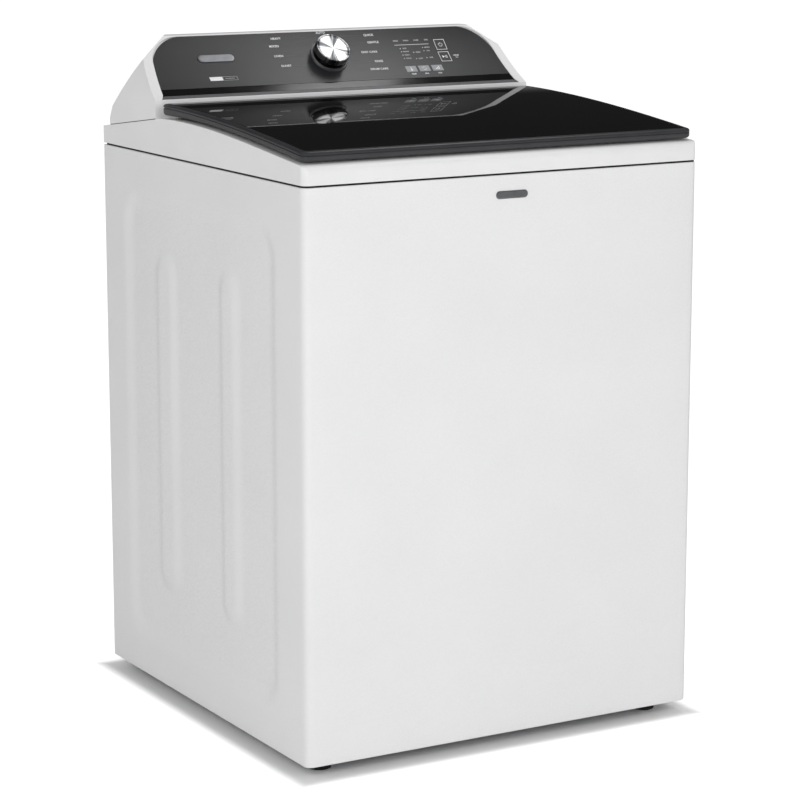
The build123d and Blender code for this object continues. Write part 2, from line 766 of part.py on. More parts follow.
def lid_frame():
    body = lid_slab()
    cut = along_x(lid_edges(-half_w, -20, 0, lid_front - 1, lid_rear + 1), -half_w, half_w)
    edges = lid_edges(-half_w, 0.4 + glass_t, -40, lid_front - 2, lid_rear + 2)
    floor = along_x(edges, -half_w - 1, half_w + 1)
    body -= (cut - floor) & lid_plan(glass_margin, deck_z, deck_z + 140)
    y0 = lid_front + 48
    y1 = lid_rear - 66
    body -= slab(-half_w + 58, half_w - 58, y0, y1, deck_z, deck_z + 100, 40)
    for x in hinge_spots():
        body -= block(x - 12, x + 12, hinge_y - 14, lid_rear + 1, deck_z + 40, hinge_z + 9)
        body -= rod_x(hinge_y, hinge_z, x - 20, x + 20, hinge_pin_r)
    return body


def lid_hinge_pins():
    return [rod_x(hinge_y, hinge_z, x - 20, x + 20, hinge_pin_r) for x in hinge_spots()]


def lid_hinge_bushes():
    parts = []
    for x in hinge_spots():
        body = block(x - 9, x + 9, hinge_y - 6, hinge_y + 6, deck_z + 51, hinge_z)
        body += rod_x(hinge_y, hinge_z, x - 9, x + 9, 6)
        body -= rod_x(hinge_y, hinge_z, x - 10, x + 10, hinge_pin_r + run_gap)
        parts.append(body)
    return parts


def lid_bumpers():
    parts = []
    under = along_x(lid_edges(-half_w, 0, 0, lid_front - 1, lid_rear + 1), -half_w, half_w)
    for x, y in ((-half_w + 40, lid_front + 26), (half_w - 40, lid_front + 26)):
        z = curve_height(lid_under_shape, y)
        parts.append(post(x, y, z - 2.4, z + 2, 6) - under)
    return parts


def lid_strike():
    lx, ly = lock_center()
    z = curve_height(lid_under_shape, ly)
    under = along_x(lid_edges(-half_w, 0, 0, lid_front - 1, lid_rear + 1), -half_w, half_w)
    body = block(lx - 6, lx + 6, ly - 3, ly + 3, deck_z + 12, z + 3) - under
    return body - block(lx - 7, lx + 7, ly - 1.9, ly + 1.9, deck_z + 15, deck_z + 23)


def lid_lock_housing():
    lx, ly = lock_center()
    body = block(lx - 28, lx + 28, ly - 22, ly + 22, deck_z + 6, deck_z + 30)
    body -= block(lx - 9, lx + 9, ly - 8, ly + 6, deck_z + 9, deck_z + 31)
    return body - block(lx + 6, lx + 25, ly - 1.9, ly + 1.9, deck_z + 15, deck_z + 23)


def lock_bolt():
    lx, ly = lock_center()
    return block(lx + 9.5, lx + 23, ly - 1.4, ly + 1.4, deck_z + 15.5, deck_z + 22.5)


# ---------- console ----------

def console_profile():
    top_z = deck_z + console_rise
    pts = [
        (console_y, seam_height(console_y)),
        (console_y, fascia_z),
        (console_y + fascia_chord * cos(fascia_angle), fascia_z + fascia_chord * sin(fascia_angle)),
        (console_y + 100, top_z),
        (console_y + 113, top_z),
        (rear_y - 11, deck_z + 42),
        (rear_y - 11, seam_height(rear_y - 11)),
    ]
    return Polygon(*pts, align=None)


def console_front():
    top_z = deck_z + console_rise
    lean = half_w - 19.7
    pts = [(-half_w, deck_z - 20), (half_w, deck_z - 20), (half_w, fascia_z),
           (lean, top_z), (-lean, top_z), (-half_w, fascia_z)]
    shape = Polygon(*pts, align=None)
    return fillet(shape.vertices().group_by(Axis.Y)[-1], 54)


def end_sweep(inset):
    # the end caps sweep forward as they rise, cut on a slant across each rear corner
    back = [(0, 13), (42, 13), (64, 19), (92, 37), (119, 56), (133, 67), (168, 96), (180, 107)]
    corner = 0.866 * half_w + 0.5 * rear_y - inset
    edge = [(corner - cut, deck_z + h) for h, cut in back]
    pts = [(-700, deck_z - 30), (edge[0][0], deck_z - 30)] + edge
    pts += [(edge[-1][0], deck_z + 260), (-700, deck_z + 260)]
    plane = Plane(origin=(0, 0, 0), x_dir=(-0.866, 0.5, 0), z_dir=(0.5, 0.866, 0))
    return extrude(plane.offset(-900) * Polygon(*pts, align=None), amount=1800, dir=(0.5, 0.866, 0))


def console_form(inset):
    side = console_profile()
    front = console_front()
    if inset:
        side = offset(side, amount=-inset, kind=Kind.INTERSECTION)
        front = offset(front, amount=-inset, kind=Kind.INTERSECTION)
    plane = Plane(origin=(-half_w - 5, 0, 0), x_dir=(0, 1, 0), z_dir=(1, 0, 0))
    body = extrude(plane * side, amount=2 * half_w + 10, dir=(1, 0, 0))
    face = Plane(origin=(0, rear_y + 5, 0), x_dir=(1, 0, 0), z_dir=(0, -1, 0))
    body = body & extrude(face * front, amount=console_depth + 20, dir=(0, -1, 0))
    plan = slab(-half_w + inset, half_w - inset, front_y, rear_y - 11 - inset,
                deck_z - 5, deck_z + 200, 20 - inset)
    sweep = end_sweep(inset)
    return body & plan & sweep & mirrored(sweep)


def hollow_cylinder(grow):
    mid_t = fascia_chord / 2
    rise = arc_r - fascia_sag
    y = console_y + slope[1] * mid_t + outward[1] * rise
    z = fascia_z + slope[2] * mid_t + outward[2] * rise
    return rod_x(y, z, -half_w - 20, half_w + 20, arc_r + grow)


def fascia_prism(inset, h0, h1):
    low = half_w - 13.2
    mid = half_w - 18.6
    top = half_w - 34.0
    t1 = fascia_chord - 2.0
    pts = [(-low, 1.2), (low, 1.2), (mid, 12), (top, t1), (-top, t1), (-mid, 12)]
    shape = Polygon(*pts, align=None)
    shape = fillet(shape.vertices().group_by(Axis.Y)[-1], 56)
    if inset:
        shape = offset(shape, amount=-inset, kind=Kind.INTERSECTION)
    return extrude(fascia_plane.offset(h0) * shape, amount=h1 - h0, dir=outward)


def console_back_plane():
    y0, z0 = rear_y - 11, deck_z + 42
    y1, z1 = console_y + 113, deck_z + console_rise
    length = sqrt((y1 - y0) ** 2 + (z1 - z0) ** 2)
    up = (0, (y1 - y0) / length, (z1 - z0) / length)
    return Plane(origin=(0, y0, z0), x_dir=(-1, 0, 0), z_dir=(0, up[2], -up[1]))


def cover_screw_spots():
    return [(s * x, t) for s in (-1, 1) for x in (half_w - 88, half_w * 0.3) for t in (18, 116)]


def console_housing():
    body = console_form(0) - hollow_cylinder(0)
    cavity = console_form(3) - hollow_cylinder(fascia_t + fascia_down + 2.5)
    body = body - cavity
    pocket = fascia_prism(0, -30, 30) & hollow_cylinder(fascia_t + fascia_down)
    body -= pocket
    body -= fascia_prism(9, -26, 30) & hollow_cylinder(fascia_t + fascia_down + 3)
    body -= block(-half_w + 50, half_w - 50, console_y + 20, console_y + 165, deck_z + 10, deck_z + 60)
    back = console_back_plane().location
    body -= back * Pos(0, 67, 0) * Box(2 * half_w - 190, 78, 20)
    for x, t in cover_screw_spots():
        body -= back * Pos(x, t, -1.5) * Cylinder(2.0, 7.0)
    return body


def console_rear_cover():
    back = console_back_plane().location
    body = back * Pos(0, 67, 1) * Box(2 * half_w - 150, 120, 2)
    body = body + back * Pos(0, 67, -1.6) * Box(2 * half_w - 192, 76, 3.2)
    body -= back * Pos(0, 67, -2.5) * Box(2 * half_w - 198, 70, 3.2)
    for x in (-70, 70):
        for t in (44, 90):
            body += back * Pos(x - 60, t, -5.9) * Cylinder(4, 10)
    for x, t in cover_screw_spots():
        body -= back * Pos(x, t, 0) * Cylinder(2.0, 10)
    return body


def control_board():
    back = console_back_plane().location
    body = back * Pos(-60, 67, -11.7) * Box(170, 66, 1.6)
    body += back * Pos(-100, 67, -19) * Box(36, 34, 13)
    body += back * Pos(-20, 76, -17) * Box(24, 20, 9)
    body += back * Pos(-30, 50, -16) * Cylinder(8, 7)
    return body


def fascia_panel():
    body = fascia_prism(0, -30, 30) & (hollow_cylinder(fascia_t + fascia_down) - hollow_cylinder(fascia_down))
    under = fascia_prism(12, -40, 30) - hollow_cylinder(fascia_down + 1)
    body += slope_rod(0, knob_t, -12, 0, 13) & under
    for x, t in board_posts():
        body += slope_rod(x, t, -22.4, 0, 3) & under
    body -= slope_rod(0, knob_t, -14, 10, 6)
    for spot in button_spots().values():
        body -= slope_box(*spot, -30, 10)
    return body


def board_posts():
    x0 = half_w - 229
    return [(x0, 36), (x0 + 127, 36), (x0, 116), (x0 + 127, 116)]


def button_spots():
    x = half_w
    return {
        "power_button": (x - 139, x - 117, 86, 109),
        "start_button": (x - 140, x - 118, 60, 83),
        "option_button_1": (x - 216, x - 194.5, 40, 54),
        "option_button_2": (x - 190.5, x - 169, 40, 54),
        "option_button_3": (x - 165, x - 143.5, 40, 54),
    }


def button(name):
    x0, x1, t0, t1 = button_spots()[name]
    g = button_gap
    face = slope_box(x0 + g, x1 - g, t0 + g, t1 - g, -11, 10) - hollow_cylinder(0.2)
    flange = slope_box(x0 - 1, x1 + 1, t0 - 1, t1 + 1, -12.5, -11)
    cx = (x0 + x1) / 2
    ct = (t0 + t1) / 2
    return face + flange + slope_rod(cx, ct, -16.9, -12.5, 2.5)


def display_board():
    x0 = half_w - 234
    body = slope_box(x0, x0 + 137, 32, 120, -24, -22.4)
    for spot in button_spots().values():
        cx = (spot[0] + spot[1]) / 2
        ct = (spot[2] + spot[3]) / 2
        body += slope_box(cx - 3, cx + 3, ct - 3, ct + 3, -22.4, -18.4)
    return body + slope_box(x0 + 20, x0 + 88, 64, 108, -22.4, -13)


def knob_encoder():
    body = slope_box(-14, 14, knob_t - 14, knob_t + 14, -24, -12)
    return body - slope_rod(0, knob_t, -22, -10, 3 + run_gap)


def knob_bezel():
    tube = slope_rod(0, knob_t, -12, 3.2 - fascia_sag, knob_r + 3)
    tube -= slope_rod(0, knob_t, -14, 8, knob_r - 1.5)
    return tube & hollow_cylinder(fascia_down)


def knob_surface():
    mid = fascia_chord / 2
    return -fascia_sag * (1 - ((knob_t - mid) / mid) ** 2)


def knob_grip():
    top = knob_surface() + knob_rise
    body = slope_rod(0, knob_t, 0.2, top - 9, knob_r - 1.2)
    body = chamfer(body.edges().filter_by(GeomType.CIRCLE), 0.8)
    for angle in (0, 180):
        lug = Rot(0, 0, 225 + angle) * Pos(knob_r - 3.5, 0, 0) * Box(9, 15, top - 9 - 0.2)
        body += at_slope(0, knob_t, (top - 9 + 0.2) / 2) * lug
    body += slope_rod(0, knob_t, -21.5, 0.2, 3)
    return body


def knob_cap():
    top = knob_surface() + knob_rise
    body = slope_rod(0, knob_t, top - 9, top, knob_r)
    return chamfer(body.edges().filter_by(GeomType.CIRCLE), 0.9)


def main():
    os.makedirs("parts", exist_ok=True)
    makers = [
        cabinet_shell, rear_panel, base_frame, foot_nuts, screws, suspension_rods, suspension_springs,
        top_deck, bleach_dispenser, water_spout, fill_hose, inlet_valve, cord_gland, drain_outlet,
        drain_hose, lid_hinge_bushes, lid_lock_housing, lock_bolt, console_housing, console_rear_cover,
        control_board, fascia_panel, display_board, knob_encoder, knob_bezel, knob_grip, knob_cap,
        lid_frame, lid_glass, lid_hinge_pins, lid_bumpers, lid_strike, outer_tub, tub_ring, gearcase,
        tub_bearings, shift_actuator, motor_housing, motor_rotor, drive_pulley, drive_belt,
        pump_housing, pump_impeller, wash_basket, balance_ring, basket_hub, drive_shaft, wash_plate,
        agitator_post, softener_cap,
    ]
    nodes = {maker.__name__: maker for maker in makers}
    for name in button_spots():
        nodes[name] = lambda key=name: button(key)
    for name, spot in zip(("front_left", "front_right", "rear_left", "rear_right"), foot_spots()):
        nodes["foot_" + name] = lambda xy=spot: foot(*xy)
    for name, make in nodes.items():
        shape = make()
        if isinstance(shape, list):
            shape = Compound(children=[part for item in shape for part in item.solids()])
        export_step(shape, "parts/" + name + ".step")


main()
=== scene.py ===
import json
from math import atan2, cos, pi, radians, sin, sqrt

import bmesh
import bpy
from mathutils import Matrix, Vector

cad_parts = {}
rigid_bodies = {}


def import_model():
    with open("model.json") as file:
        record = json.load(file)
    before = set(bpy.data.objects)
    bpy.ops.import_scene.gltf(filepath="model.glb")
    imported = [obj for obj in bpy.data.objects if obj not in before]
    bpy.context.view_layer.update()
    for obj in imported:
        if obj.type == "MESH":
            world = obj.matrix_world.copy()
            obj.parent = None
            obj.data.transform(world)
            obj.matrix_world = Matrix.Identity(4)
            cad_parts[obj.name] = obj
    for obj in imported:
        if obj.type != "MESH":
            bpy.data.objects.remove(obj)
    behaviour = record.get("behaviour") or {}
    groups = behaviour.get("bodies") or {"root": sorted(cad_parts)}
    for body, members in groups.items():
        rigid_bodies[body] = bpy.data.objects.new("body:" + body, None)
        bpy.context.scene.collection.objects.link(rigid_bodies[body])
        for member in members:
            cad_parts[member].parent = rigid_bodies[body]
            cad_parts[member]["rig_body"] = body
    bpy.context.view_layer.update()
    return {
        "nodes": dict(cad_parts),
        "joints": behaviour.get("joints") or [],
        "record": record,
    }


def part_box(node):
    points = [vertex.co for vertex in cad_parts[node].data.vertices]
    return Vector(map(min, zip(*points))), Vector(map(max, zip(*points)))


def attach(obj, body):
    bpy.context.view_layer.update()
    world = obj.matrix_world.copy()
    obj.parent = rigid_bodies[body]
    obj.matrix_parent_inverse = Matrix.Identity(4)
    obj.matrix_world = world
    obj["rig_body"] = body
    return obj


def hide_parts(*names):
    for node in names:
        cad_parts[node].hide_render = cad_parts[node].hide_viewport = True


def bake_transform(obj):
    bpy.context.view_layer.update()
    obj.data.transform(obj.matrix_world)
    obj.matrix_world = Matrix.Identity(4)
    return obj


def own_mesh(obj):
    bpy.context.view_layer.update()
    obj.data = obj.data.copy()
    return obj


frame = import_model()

mm = 0.001

# places read from the frame, in metres
cabLow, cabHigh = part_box("cabinet_shell")
lidLow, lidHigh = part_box("lid_frame")
basketLow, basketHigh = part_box("wash_basket")
postLow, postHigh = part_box("agitator_post")
halfW = cabHigh.x
edgeX = halfW / mm
frontY, rearY = cabLow.y, cabHigh.y
deckZ = cabHigh.z + 3 * mm
drumY = (basketLow.y + basketHigh.y) / 2
slotOf = {part["node"]: part["material_slot"] for part in frame["record"]["subparts"]}
jointOf = {joint["name"]: joint for joint in frame["joints"]}
knobBase = Vector(jointOf["knob_turn"]["pos_m"])
outward = Vector(jointOf["knob_turn"]["axis"]).normalized()
if outward.z < 0:
    outward = -outward
upSlope = Vector((0, outward.z, -outward.y))
sideways = Vector((1, 0, 0))
knobT = 82 * mm
fasciaFoot = knobBase - upSlope * knobT
drumPlace = Matrix.Translation((0, drumY, 0))
finished = set()


# small helpers

def linearHex(text):
    channels = [int(text[i:i + 2], 16) / 255 for i in (1, 3, 5)]
    return tuple(c / 12.92 if c <= 0.04045 else ((c + 0.055) / 1.055) ** 2.4 for c in channels) + (1.0,)


def addNode(tree, kind, inputs=None, **settings):
    # each input is a plain value or the socket that feeds it
    node = tree.nodes.new(kind)
    for name, value in settings.items():
        setattr(node, name, value)
    for key, value in (inputs or {}).items():
        if isinstance(value, bpy.types.NodeSocket):
            tree.links.new(value, node.inputs[key])
        else:
            node.inputs[key].default_value = value
    return node


def firstOut(tree, kind, inputs=None, **settings):
    return addNode(tree, kind, inputs, **settings).outputs[0]


def maths(tree, operation, *terms, kind="ShaderNodeMath"):
    return firstOut(tree, kind, dict(enumerate(terms)), operation=operation)


def rescale(tree, value, low, high, toLow=0.0, toHigh=1.0, ease="LINEAR"):
    return firstOut(tree, "ShaderNodeMapRange", {"Value": value, "From Min": low, "From Max": high,
                                                 "To Min": toLow, "To Max": toHigh}, interpolation_type=ease)


def mixTones(tree, factor, dark, light):
    return addNode(tree, "ShaderNodeMix", {0: factor, 6: linearHex(dark), 7: linearHex(light)},
                   data_type="RGBA").outputs[2]


def noise(tree, where, scale, detail):
    return firstOut(tree, "ShaderNodeTexNoise", {"Vector": where, "Scale": scale, "Detail": detail})


def placeObject(name, data):
    piece = bpy.data.objects.new(name, data)
    bpy.context.scene.collection.objects.link(piece)
    return piece


def smoothShade(mesh, angle):
    mesh.polygons.foreach_set("use_smooth", [True] * len(mesh.polygons))
    mesh.set_sharp_from_angle(angle=radians(angle))


def meshObject(name, points, faces, smoothAngle=35, merge=0.0):
    mesh = bpy.data.meshes.new(name)
    mesh.from_pydata([tuple(p) for p in points], [], faces)
    edit = bmesh.new()
    edit.from_mesh(mesh)
    if merge:
        bmesh.ops.remove_doubles(edit, verts=edit.verts, dist=merge)
    bmesh.ops.recalc_face_normals(edit, faces=edit.faces)
    edit.to_mesh(mesh)
    edit.free()
    smoothShade(mesh, smoothAngle)
    return placeObject(name, mesh)


def bakeModifiers(piece):
    # what the modifiers give becomes the piece's own plain mesh
    graph = bpy.context.evaluated_depsgraph_get()
    result = bpy.data.meshes.new_from_object(piece.evaluated_get(graph), depsgraph=graph)
    piece.modifiers.clear()
    piece.data = result
    return piece


def joined(name, parts):
    edit = bmesh.new()
    slots = []
    for part in parts:
        start = len(edit.faces)
        edit.from_mesh(part.data)
        edit.faces.ensure_lookup_table()
        for material in part.data.materials:
            if material not in slots:
                slots.append(material)
        if part.data.materials:
            lookup = [slots.index(m) for m in part.data.materials]
            for face in edit.faces[start:]:
                face.material_index = lookup[min(face.material_index, len(lookup) - 1)]
        bpy.data.objects.remove(part)
    mesh = bpy.data.meshes.new(name)
    edit.to_mesh(mesh)
    edit.free()
    for material in slots:
        mesh.materials.append(material)
    return placeObject(name, mesh)


def settle(piece, body, slotName, replaced=(), material=None):
    if not piece.data.materials:
        piece.data.materials.append(material or finishes[slotName])
    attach(piece, body)
    if replaced:
        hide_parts(*replaced)
        finished.update(replaced)
    return piece


def roundedOutline(corners, arcSteps=6, edgeCuts=((), (), (), ())):
    # corners run counter-clockwise as (x, y, radius); edgeCuts holds fractions along each edge
    rows = []
    for k, (x, y, r) in enumerate(corners):
        before, after = corners[k - 1], corners[(k + 1) % len(corners)]
        here = Vector((x, y))
        a = (Vector(before[:2]) - here).normalized()
        b = (Vector(after[:2]) - here).normalized()
        half = a.angle(b) / 2
        reach = r / sin(half)
        centre = here + (a + b).normalized() * reach
        start = here + a * (reach * cos(half)) - centre
        sweep = pi - 2 * half
        arc = []
        for i in range(arcSteps + 1):
            turn = sweep * i / arcSteps
            arc.append(centre + Vector((start.x * cos(turn) - start.y * sin(turn),
                                        start.x * sin(turn) + start.y * cos(turn))))
        rows.append(arc)
    outline = []
    for k, arc in enumerate(rows):
        outline += arc
        end, following = arc[-1], rows[(k + 1) % len(rows)][0]
        outline += [end.lerp(following, f) for f in edgeCuts[k % len(edgeCuts)]]
    return outline


def boxCorners(x0, x1, y0, y1, front, rear):
    return [(x0, y0, front), (x1, y0, front), (x1, y1, rear), (x0, y1, rear)]


def evenly(count):
    return [(k + 1) / (count + 1) for k in range(count)]


def ringFaces(rings, count, closed=False):
    faces = []
    for j in range(rings if closed else rings - 1):
        k = (j + 1) % rings
        for i in range(count):
            n = (i + 1) % count
            faces.append((j * count + i, j * count + n, k * count + n, k * count + i))
    return faces


def cappedFaces(rings, count):
    last = (rings - 1) * count
    return ringFaces(rings, count) + [tuple(range(count))[::-1], tuple(range(last, last + count))]


def gridFaces(rows, columns):
    faces = []
    for j in range(rows):
        for a in range(j * (columns + 1), j * (columns + 1) + columns):
            faces.append((a, a + 1, a + columns + 2, a + columns + 1))
    return faces


def ribbon(name, points):
    # points come in pairs, one pair for each station along the ribbon
    return meshObject(name, points, [(k, k + 1, k + 3, k + 2) for k in range(0, len(points) - 2, 2)])


def prism(name, bottom, top):
    return meshObject(name, bottom + top, cappedFaces(2, len(bottom)))


def block(name, low, high):
    corners = ((low[0], low[1]), (high[0], low[1]), (high[0], high[1]), (low[0], high[1]))
    return prism(name, *[[(x, y, z) for x, y in corners] for z in (low[2], high[2])])


def thicken(piece, thickness, offset=-1.0):
    wall = piece.modifiers.new("thickness", "SOLIDIFY")
    wall.thickness, wall.offset = thickness * mm, offset


def lathe(name, profile, steps, place, closed=False, smoothAngle=35):
    # profile holds (radius, height) in millimetres; place turns the local frame into the row frame
    points = []
    for r, h in profile:
        for k in range(steps):
            turn = 2 * pi * k / steps
            points.append(place @ Vector((r * mm * cos(turn), r * mm * sin(turn), h * mm)))
    faces = ringFaces(len(profile), steps, closed)
    return meshObject(name, points, faces, smoothAngle, merge=0.000004)


def axisFrame(origin, xAxis, yAxis, zAxis):
    matrix = Matrix((xAxis, yAxis, zAxis)).transposed().to_4x4()
    matrix.translation = origin
    return matrix


def smoothStep(low, high, value):
    f = min(max((value - low) / (high - low), 0.0), 1.0)
    return f * f * (3 - 2 * f)


# materials

def blankMaterial(name):
    material = bpy.data.materials.new(name)
    material.use_nodes = True
    material.node_tree.nodes.clear()
    return material, material.node_tree


def shade(tree, inputs):
    addNode(tree, "ShaderNodeOutputMaterial", {"Surface": firstOut(tree, "ShaderNodeBsdfPrincipled", inputs)})


def insideOf(material):
    nodes = material.node_tree.nodes
    shader = next(n for n in nodes if n.type == "BSDF_PRINCIPLED")
    coords = next(n for n in nodes if n.type == "TEX_COORD").outputs["Object"]
    return material.node_tree, shader, coords


def coatedFinish(name, colours, rough, patch, grain, relief, metallic=0.0, ior=1.46, coat=0.0,
                 stretch=(1, 1, 1), strength=0.6):
    # two tones drift over patches of `patch` mm; a grain of `grain` mm stands `relief` mm high
    material, tree = blankMaterial(name)
    coords = addNode(tree, "ShaderNodeTexCoord").outputs["Object"]
    mapped = firstOut(tree, "ShaderNodeMapping", {"Vector": coords, "Scale": stretch})
    drift = noise(tree, mapped, 1000 / patch, 4.0)
    fine = noise(tree, mapped, 1000 / grain, 2.0)
    bump = firstOut(tree, "ShaderNodeBump", {"Height": fine, "Strength": strength, "Distance": relief * mm})
    shade(tree, {"Base Color": mixTones(tree, rescale(tree, drift, 0.3, 0.7), *colours), "Metallic": metallic,
                 "Roughness": rescale(tree, fine, 0.3, 0.7, *rough), "IOR": ior, "Coat Weight": coat,
                 "Coat Roughness": 0.06, "Normal": bump})
    return material


def spangledZinc():
    # hot-dip galvanised sheet: flat crystal spangles about 9 mm across, each at its own brightness
    material = coatedFinish("Hot-dip galvanised sheet", ("#a3a6a8", "#b6b9bb"), (0.34, 0.48), 30, 0.8, 0.01,
                            metallic=1.0, ior=1.5)
    tree, shader, coords = insideOf(material)
    cells = addNode(tree, "ShaderNodeTexVoronoi", {"Scale": 1000 / 9, "Vector": coords})
    grey = firstOut(tree, "ShaderNodeRGBToBW", {"Color": cells.outputs["Color"]})
    tree.links.new(mixTones(tree, grey, "#95989b", "#bcbfc1"), shader.inputs["Base Color"])
    return material


def spunAluminium():
    # turned and clear-anodised aluminium: its base colour carries painted highlight fans, light and dark sectors
    # round the axis broken by radial streaks; the fine turning marks are a bump and the gloss runs round the axis
    highlightFans, rings = 4, 60
    material, tree = blankMaterial("Spun anodised aluminium with painted highlight fans")
    turned = firstOut(tree, "ShaderNodeUVMap", uv_map="turning")
    split = addNode(tree, "ShaderNodeSeparateXYZ", {"Vector": turned}).outputs
    # painted highlight: bright and dark fans by angle round the axis, with radial noise streaks added, become the
    # base colour
    paintedFanWave = maths(tree, "SINE", maths(tree, "MULTIPLY", split[0], 2 * pi * highlightFans))
    streak = noise(tree, firstOut(tree, "ShaderNodeMapping", {"Vector": turned, "Scale": (26.0, 0.6, 1.0)}), 1.0, 3.0)
    total = maths(tree, "ADD", paintedFanWave, rescale(tree, streak, 0.35, 0.65, -0.5, 0.5))
    paintedHighlightTone = rescale(tree, total, -0.95, 0.15, ease="SMOOTHSTEP")
    groove = maths(tree, "SINE", maths(tree, "MULTIPLY", split[1], 2 * pi * rings))
    bump = firstOut(tree, "ShaderNodeBump", {"Height": groove, "Strength": 0.25, "Distance": 0.02 * mm})
    tangent = firstOut(tree, "ShaderNodeTangent", direction_type="UV_MAP", uv_map="turning")
    shade(tree, {"Base Color": mixTones(tree, paintedHighlightTone, "#4c4e51", "#e2e2e2"), "Metallic": 1.0, "Roughness": 0.28,
                 "Anisotropic": 0.7, "Normal": bump, "Tangent": tangent})
    return material


def circuitBoard():
    # green solder mask over copper: straight tracks show as slightly paler lines about 1 mm wide
    material = coatedFinish("Solder-masked circuit board", ("#0f5a34", "#0c4f2d"), (0.3, 0.4), 20, 1.0, 0.02,
                            coat=0.3)
    tree, shader, coords = insideOf(material)
    tracks = firstOut(tree, "ShaderNodeTexBrick",
                      {"Vector": coords, "Scale": 1000 / 9, "Mortar Size": 0.05, "Color1": linearHex("#0f5a34"),
                       "Color2": linearHex("#0d5230"), "Mortar": linearHex("#2f8a55")})
    tree.links.new(tracks, shader.inputs["Base Color"])
    return material


metal = {"metallic": 1.0, "ior": 1.5}
inkCoat = ((0.5, 0.6), 8, 0.4, 0.003)
# title, two tones, roughness from and to, patch and grain in mm, relief in mm, and what else it needs
coatings = {
    # baked enamel on steel: hard, even white with a faint orange-peel and a clean gloss
    "white_enamel": ("Baked white enamel", ("#f3f3f3", "#f0f0f0"), (0.26, 0.29), 160, 0.9, 0.002,
                     {"ior": 1.5, "coat": 0.25, "strength": 0.3}),
    # injection-moulded ABS, satin white: slightly softer gloss than the enamel
    "white_plastic": ("Moulded white ABS", ("#f4f4f4", "#f0f0f0"), (0.30, 0.38), 120, 0.8, 0.008),
    "white_nylon": ("Natural nylon", ("#dcdcd6", "#d2d2cc"), (0.42, 0.52), 30, 0.6, 0.01),
    "grey_plastic": ("Moulded grey polypropylene", ("#a4a7aa", "#989b9e"), (0.34, 0.44), 60, 0.7, 0.012),
    "black_plastic": ("Moulded black ABS", ("#161617", "#111112"), (0.34, 0.44), 40, 0.6, 0.012),
    # graphite film over the console face: satin, with a very fine sparkle grain
    "graphite_plastic": ("Satin graphite fascia film", ("#2c2c2e", "#29292b"), (0.29, 0.33), 70, 0.35, 0.003),
    "charcoal_plastic": ("Satin charcoal lid frame", ("#3c3c3e", "#37373a"), (0.30, 0.38), 50, 0.5, 0.006),
    "black_rubber": ("Black EPDM rubber", ("#1b1b1b", "#151515"), (0.62, 0.75), 20, 0.5, 0.03),
    # tempered glass, back-painted black: near-mirror gloss over a deep black
    "black_glass": ("Back-painted black glass", ("#171718", "#151516"), (0.015, 0.025), 200, 40, 0.002,
                    {"ior": 1.12, "strength": 0.1}),
    "chrome_trim": ("Polished chrome trim", ("#d9dadc", "#cfd0d2"), (0.06, 0.11), 20, 0.6, 0.002, metal),
    "zinc": ("Bright zinc plate", ("#b9bcc0", "#a5a8ac"), (0.26, 0.36), 12, 0.5, 0.01, metal),
    # drawn stainless sheet, brushed round the drum: short level streaks under 1 mm high
    "stainless": ("Brushed stainless sheet", ("#cfd0d2", "#babbbd"), (0.34, 0.46), 40, 0.9, 0.01,
                  {"metallic": 0.55, "ior": 1.5, "stretch": (0.04, 0.04, 1)}),
    "cast_case": ("Die-cast aluminium", ("#8b8e91", "#7d8083"), (0.44, 0.58), 25, 0.9, 0.05, metal),
    "tub_plastic": ("Filled polypropylene tub", ("#cfd2d4", "#c5c8ca"), (0.38, 0.48), 80, 0.9, 0.015),
    # pad-printed ink: matt, a touch uneven where it thins
    "ink": ("Pad-printed white ink", ("#ffffff", "#f2f2f2"), *inkCoat),
    "dimInk": ("Pad-printed grey ink", ("#cfcfd1", "#bdbdbf"), *inkCoat),
    "hairInk": ("Pad-printed fine grey line", ("#6c6c6e", "#626264"), *inkCoat),
    # painted reflections on the foot of the console face: a near-black band stands for a dark reflection and a grey
    # strip for the lid reflected there
    "paintedDarkReflectionBand": ("Piano-black strip, painted dark reflection", ("#030303", "#020202"), (0.10, 0.14), 90, 30, 0.002, {"ior": 1.3}),
    "paintedLidReflectionStrip": ("Satin grey strip, painted lid reflection", ("#5c5c5e", "#565658"), (0.32, 0.38), 70, 0.35, 0.003),
    "badgeSatin": ("Satin badge metal", ("#8e8f92", "#848588"), (0.34, 0.42), 12, 0.4, 0.003, metal),
    "ringSatin": ("Satin chrome ring", ("#e4e5e7", "#d8d9db"), (0.42, 0.5), 12, 0.4, 0.003, metal),
    "knobBlack": ("Gloss black knob skirt", ("#0c0c0d", "#090909"), (0.12, 0.18), 30, 4, 0.003),
}


def makeFinishes():
    made = {"galvanised": spangledZinc(), "spun_aluminium": spunAluminium(), "circuit_board": circuitBoard()}
    for slotName, (title, tones, rough, patch, grain, relief, *extra) in coatings.items():
        made[slotName] = coatedFinish(title, tones, rough, patch, grain, relief, **(extra[0] if extra else {}))
    return made


# camera, light and floor

camera = {"place": (-2.2266, -3.8882, 1.3871), "yaw": 29.97, "pitch": 11.32, "lens": 125.4}
studio = {"sky": 0.44, "keyPower": 26.0, "grazePower": 28.0, "fillPower": 9.0, "topPower": 9.0,
          "floorGlow": 0.66, "shadowFrom": 0.002, "shadowTo": 0.035}


def areaLight(name, place, target, width, height, power, glossy=False):
    lamp = bpy.data.lights.new(name, "AREA")
    lamp.shape = "RECTANGLE"
    lamp.size, lamp.size_y, lamp.energy = width, height, power
    holder = placeObject(name, lamp)
    holder.location = place
    holder.rotation_euler = (Vector(target) - Vector(place)).to_track_quat("-Z", "Y").to_euler()
    holder.visible_glossy = glossy


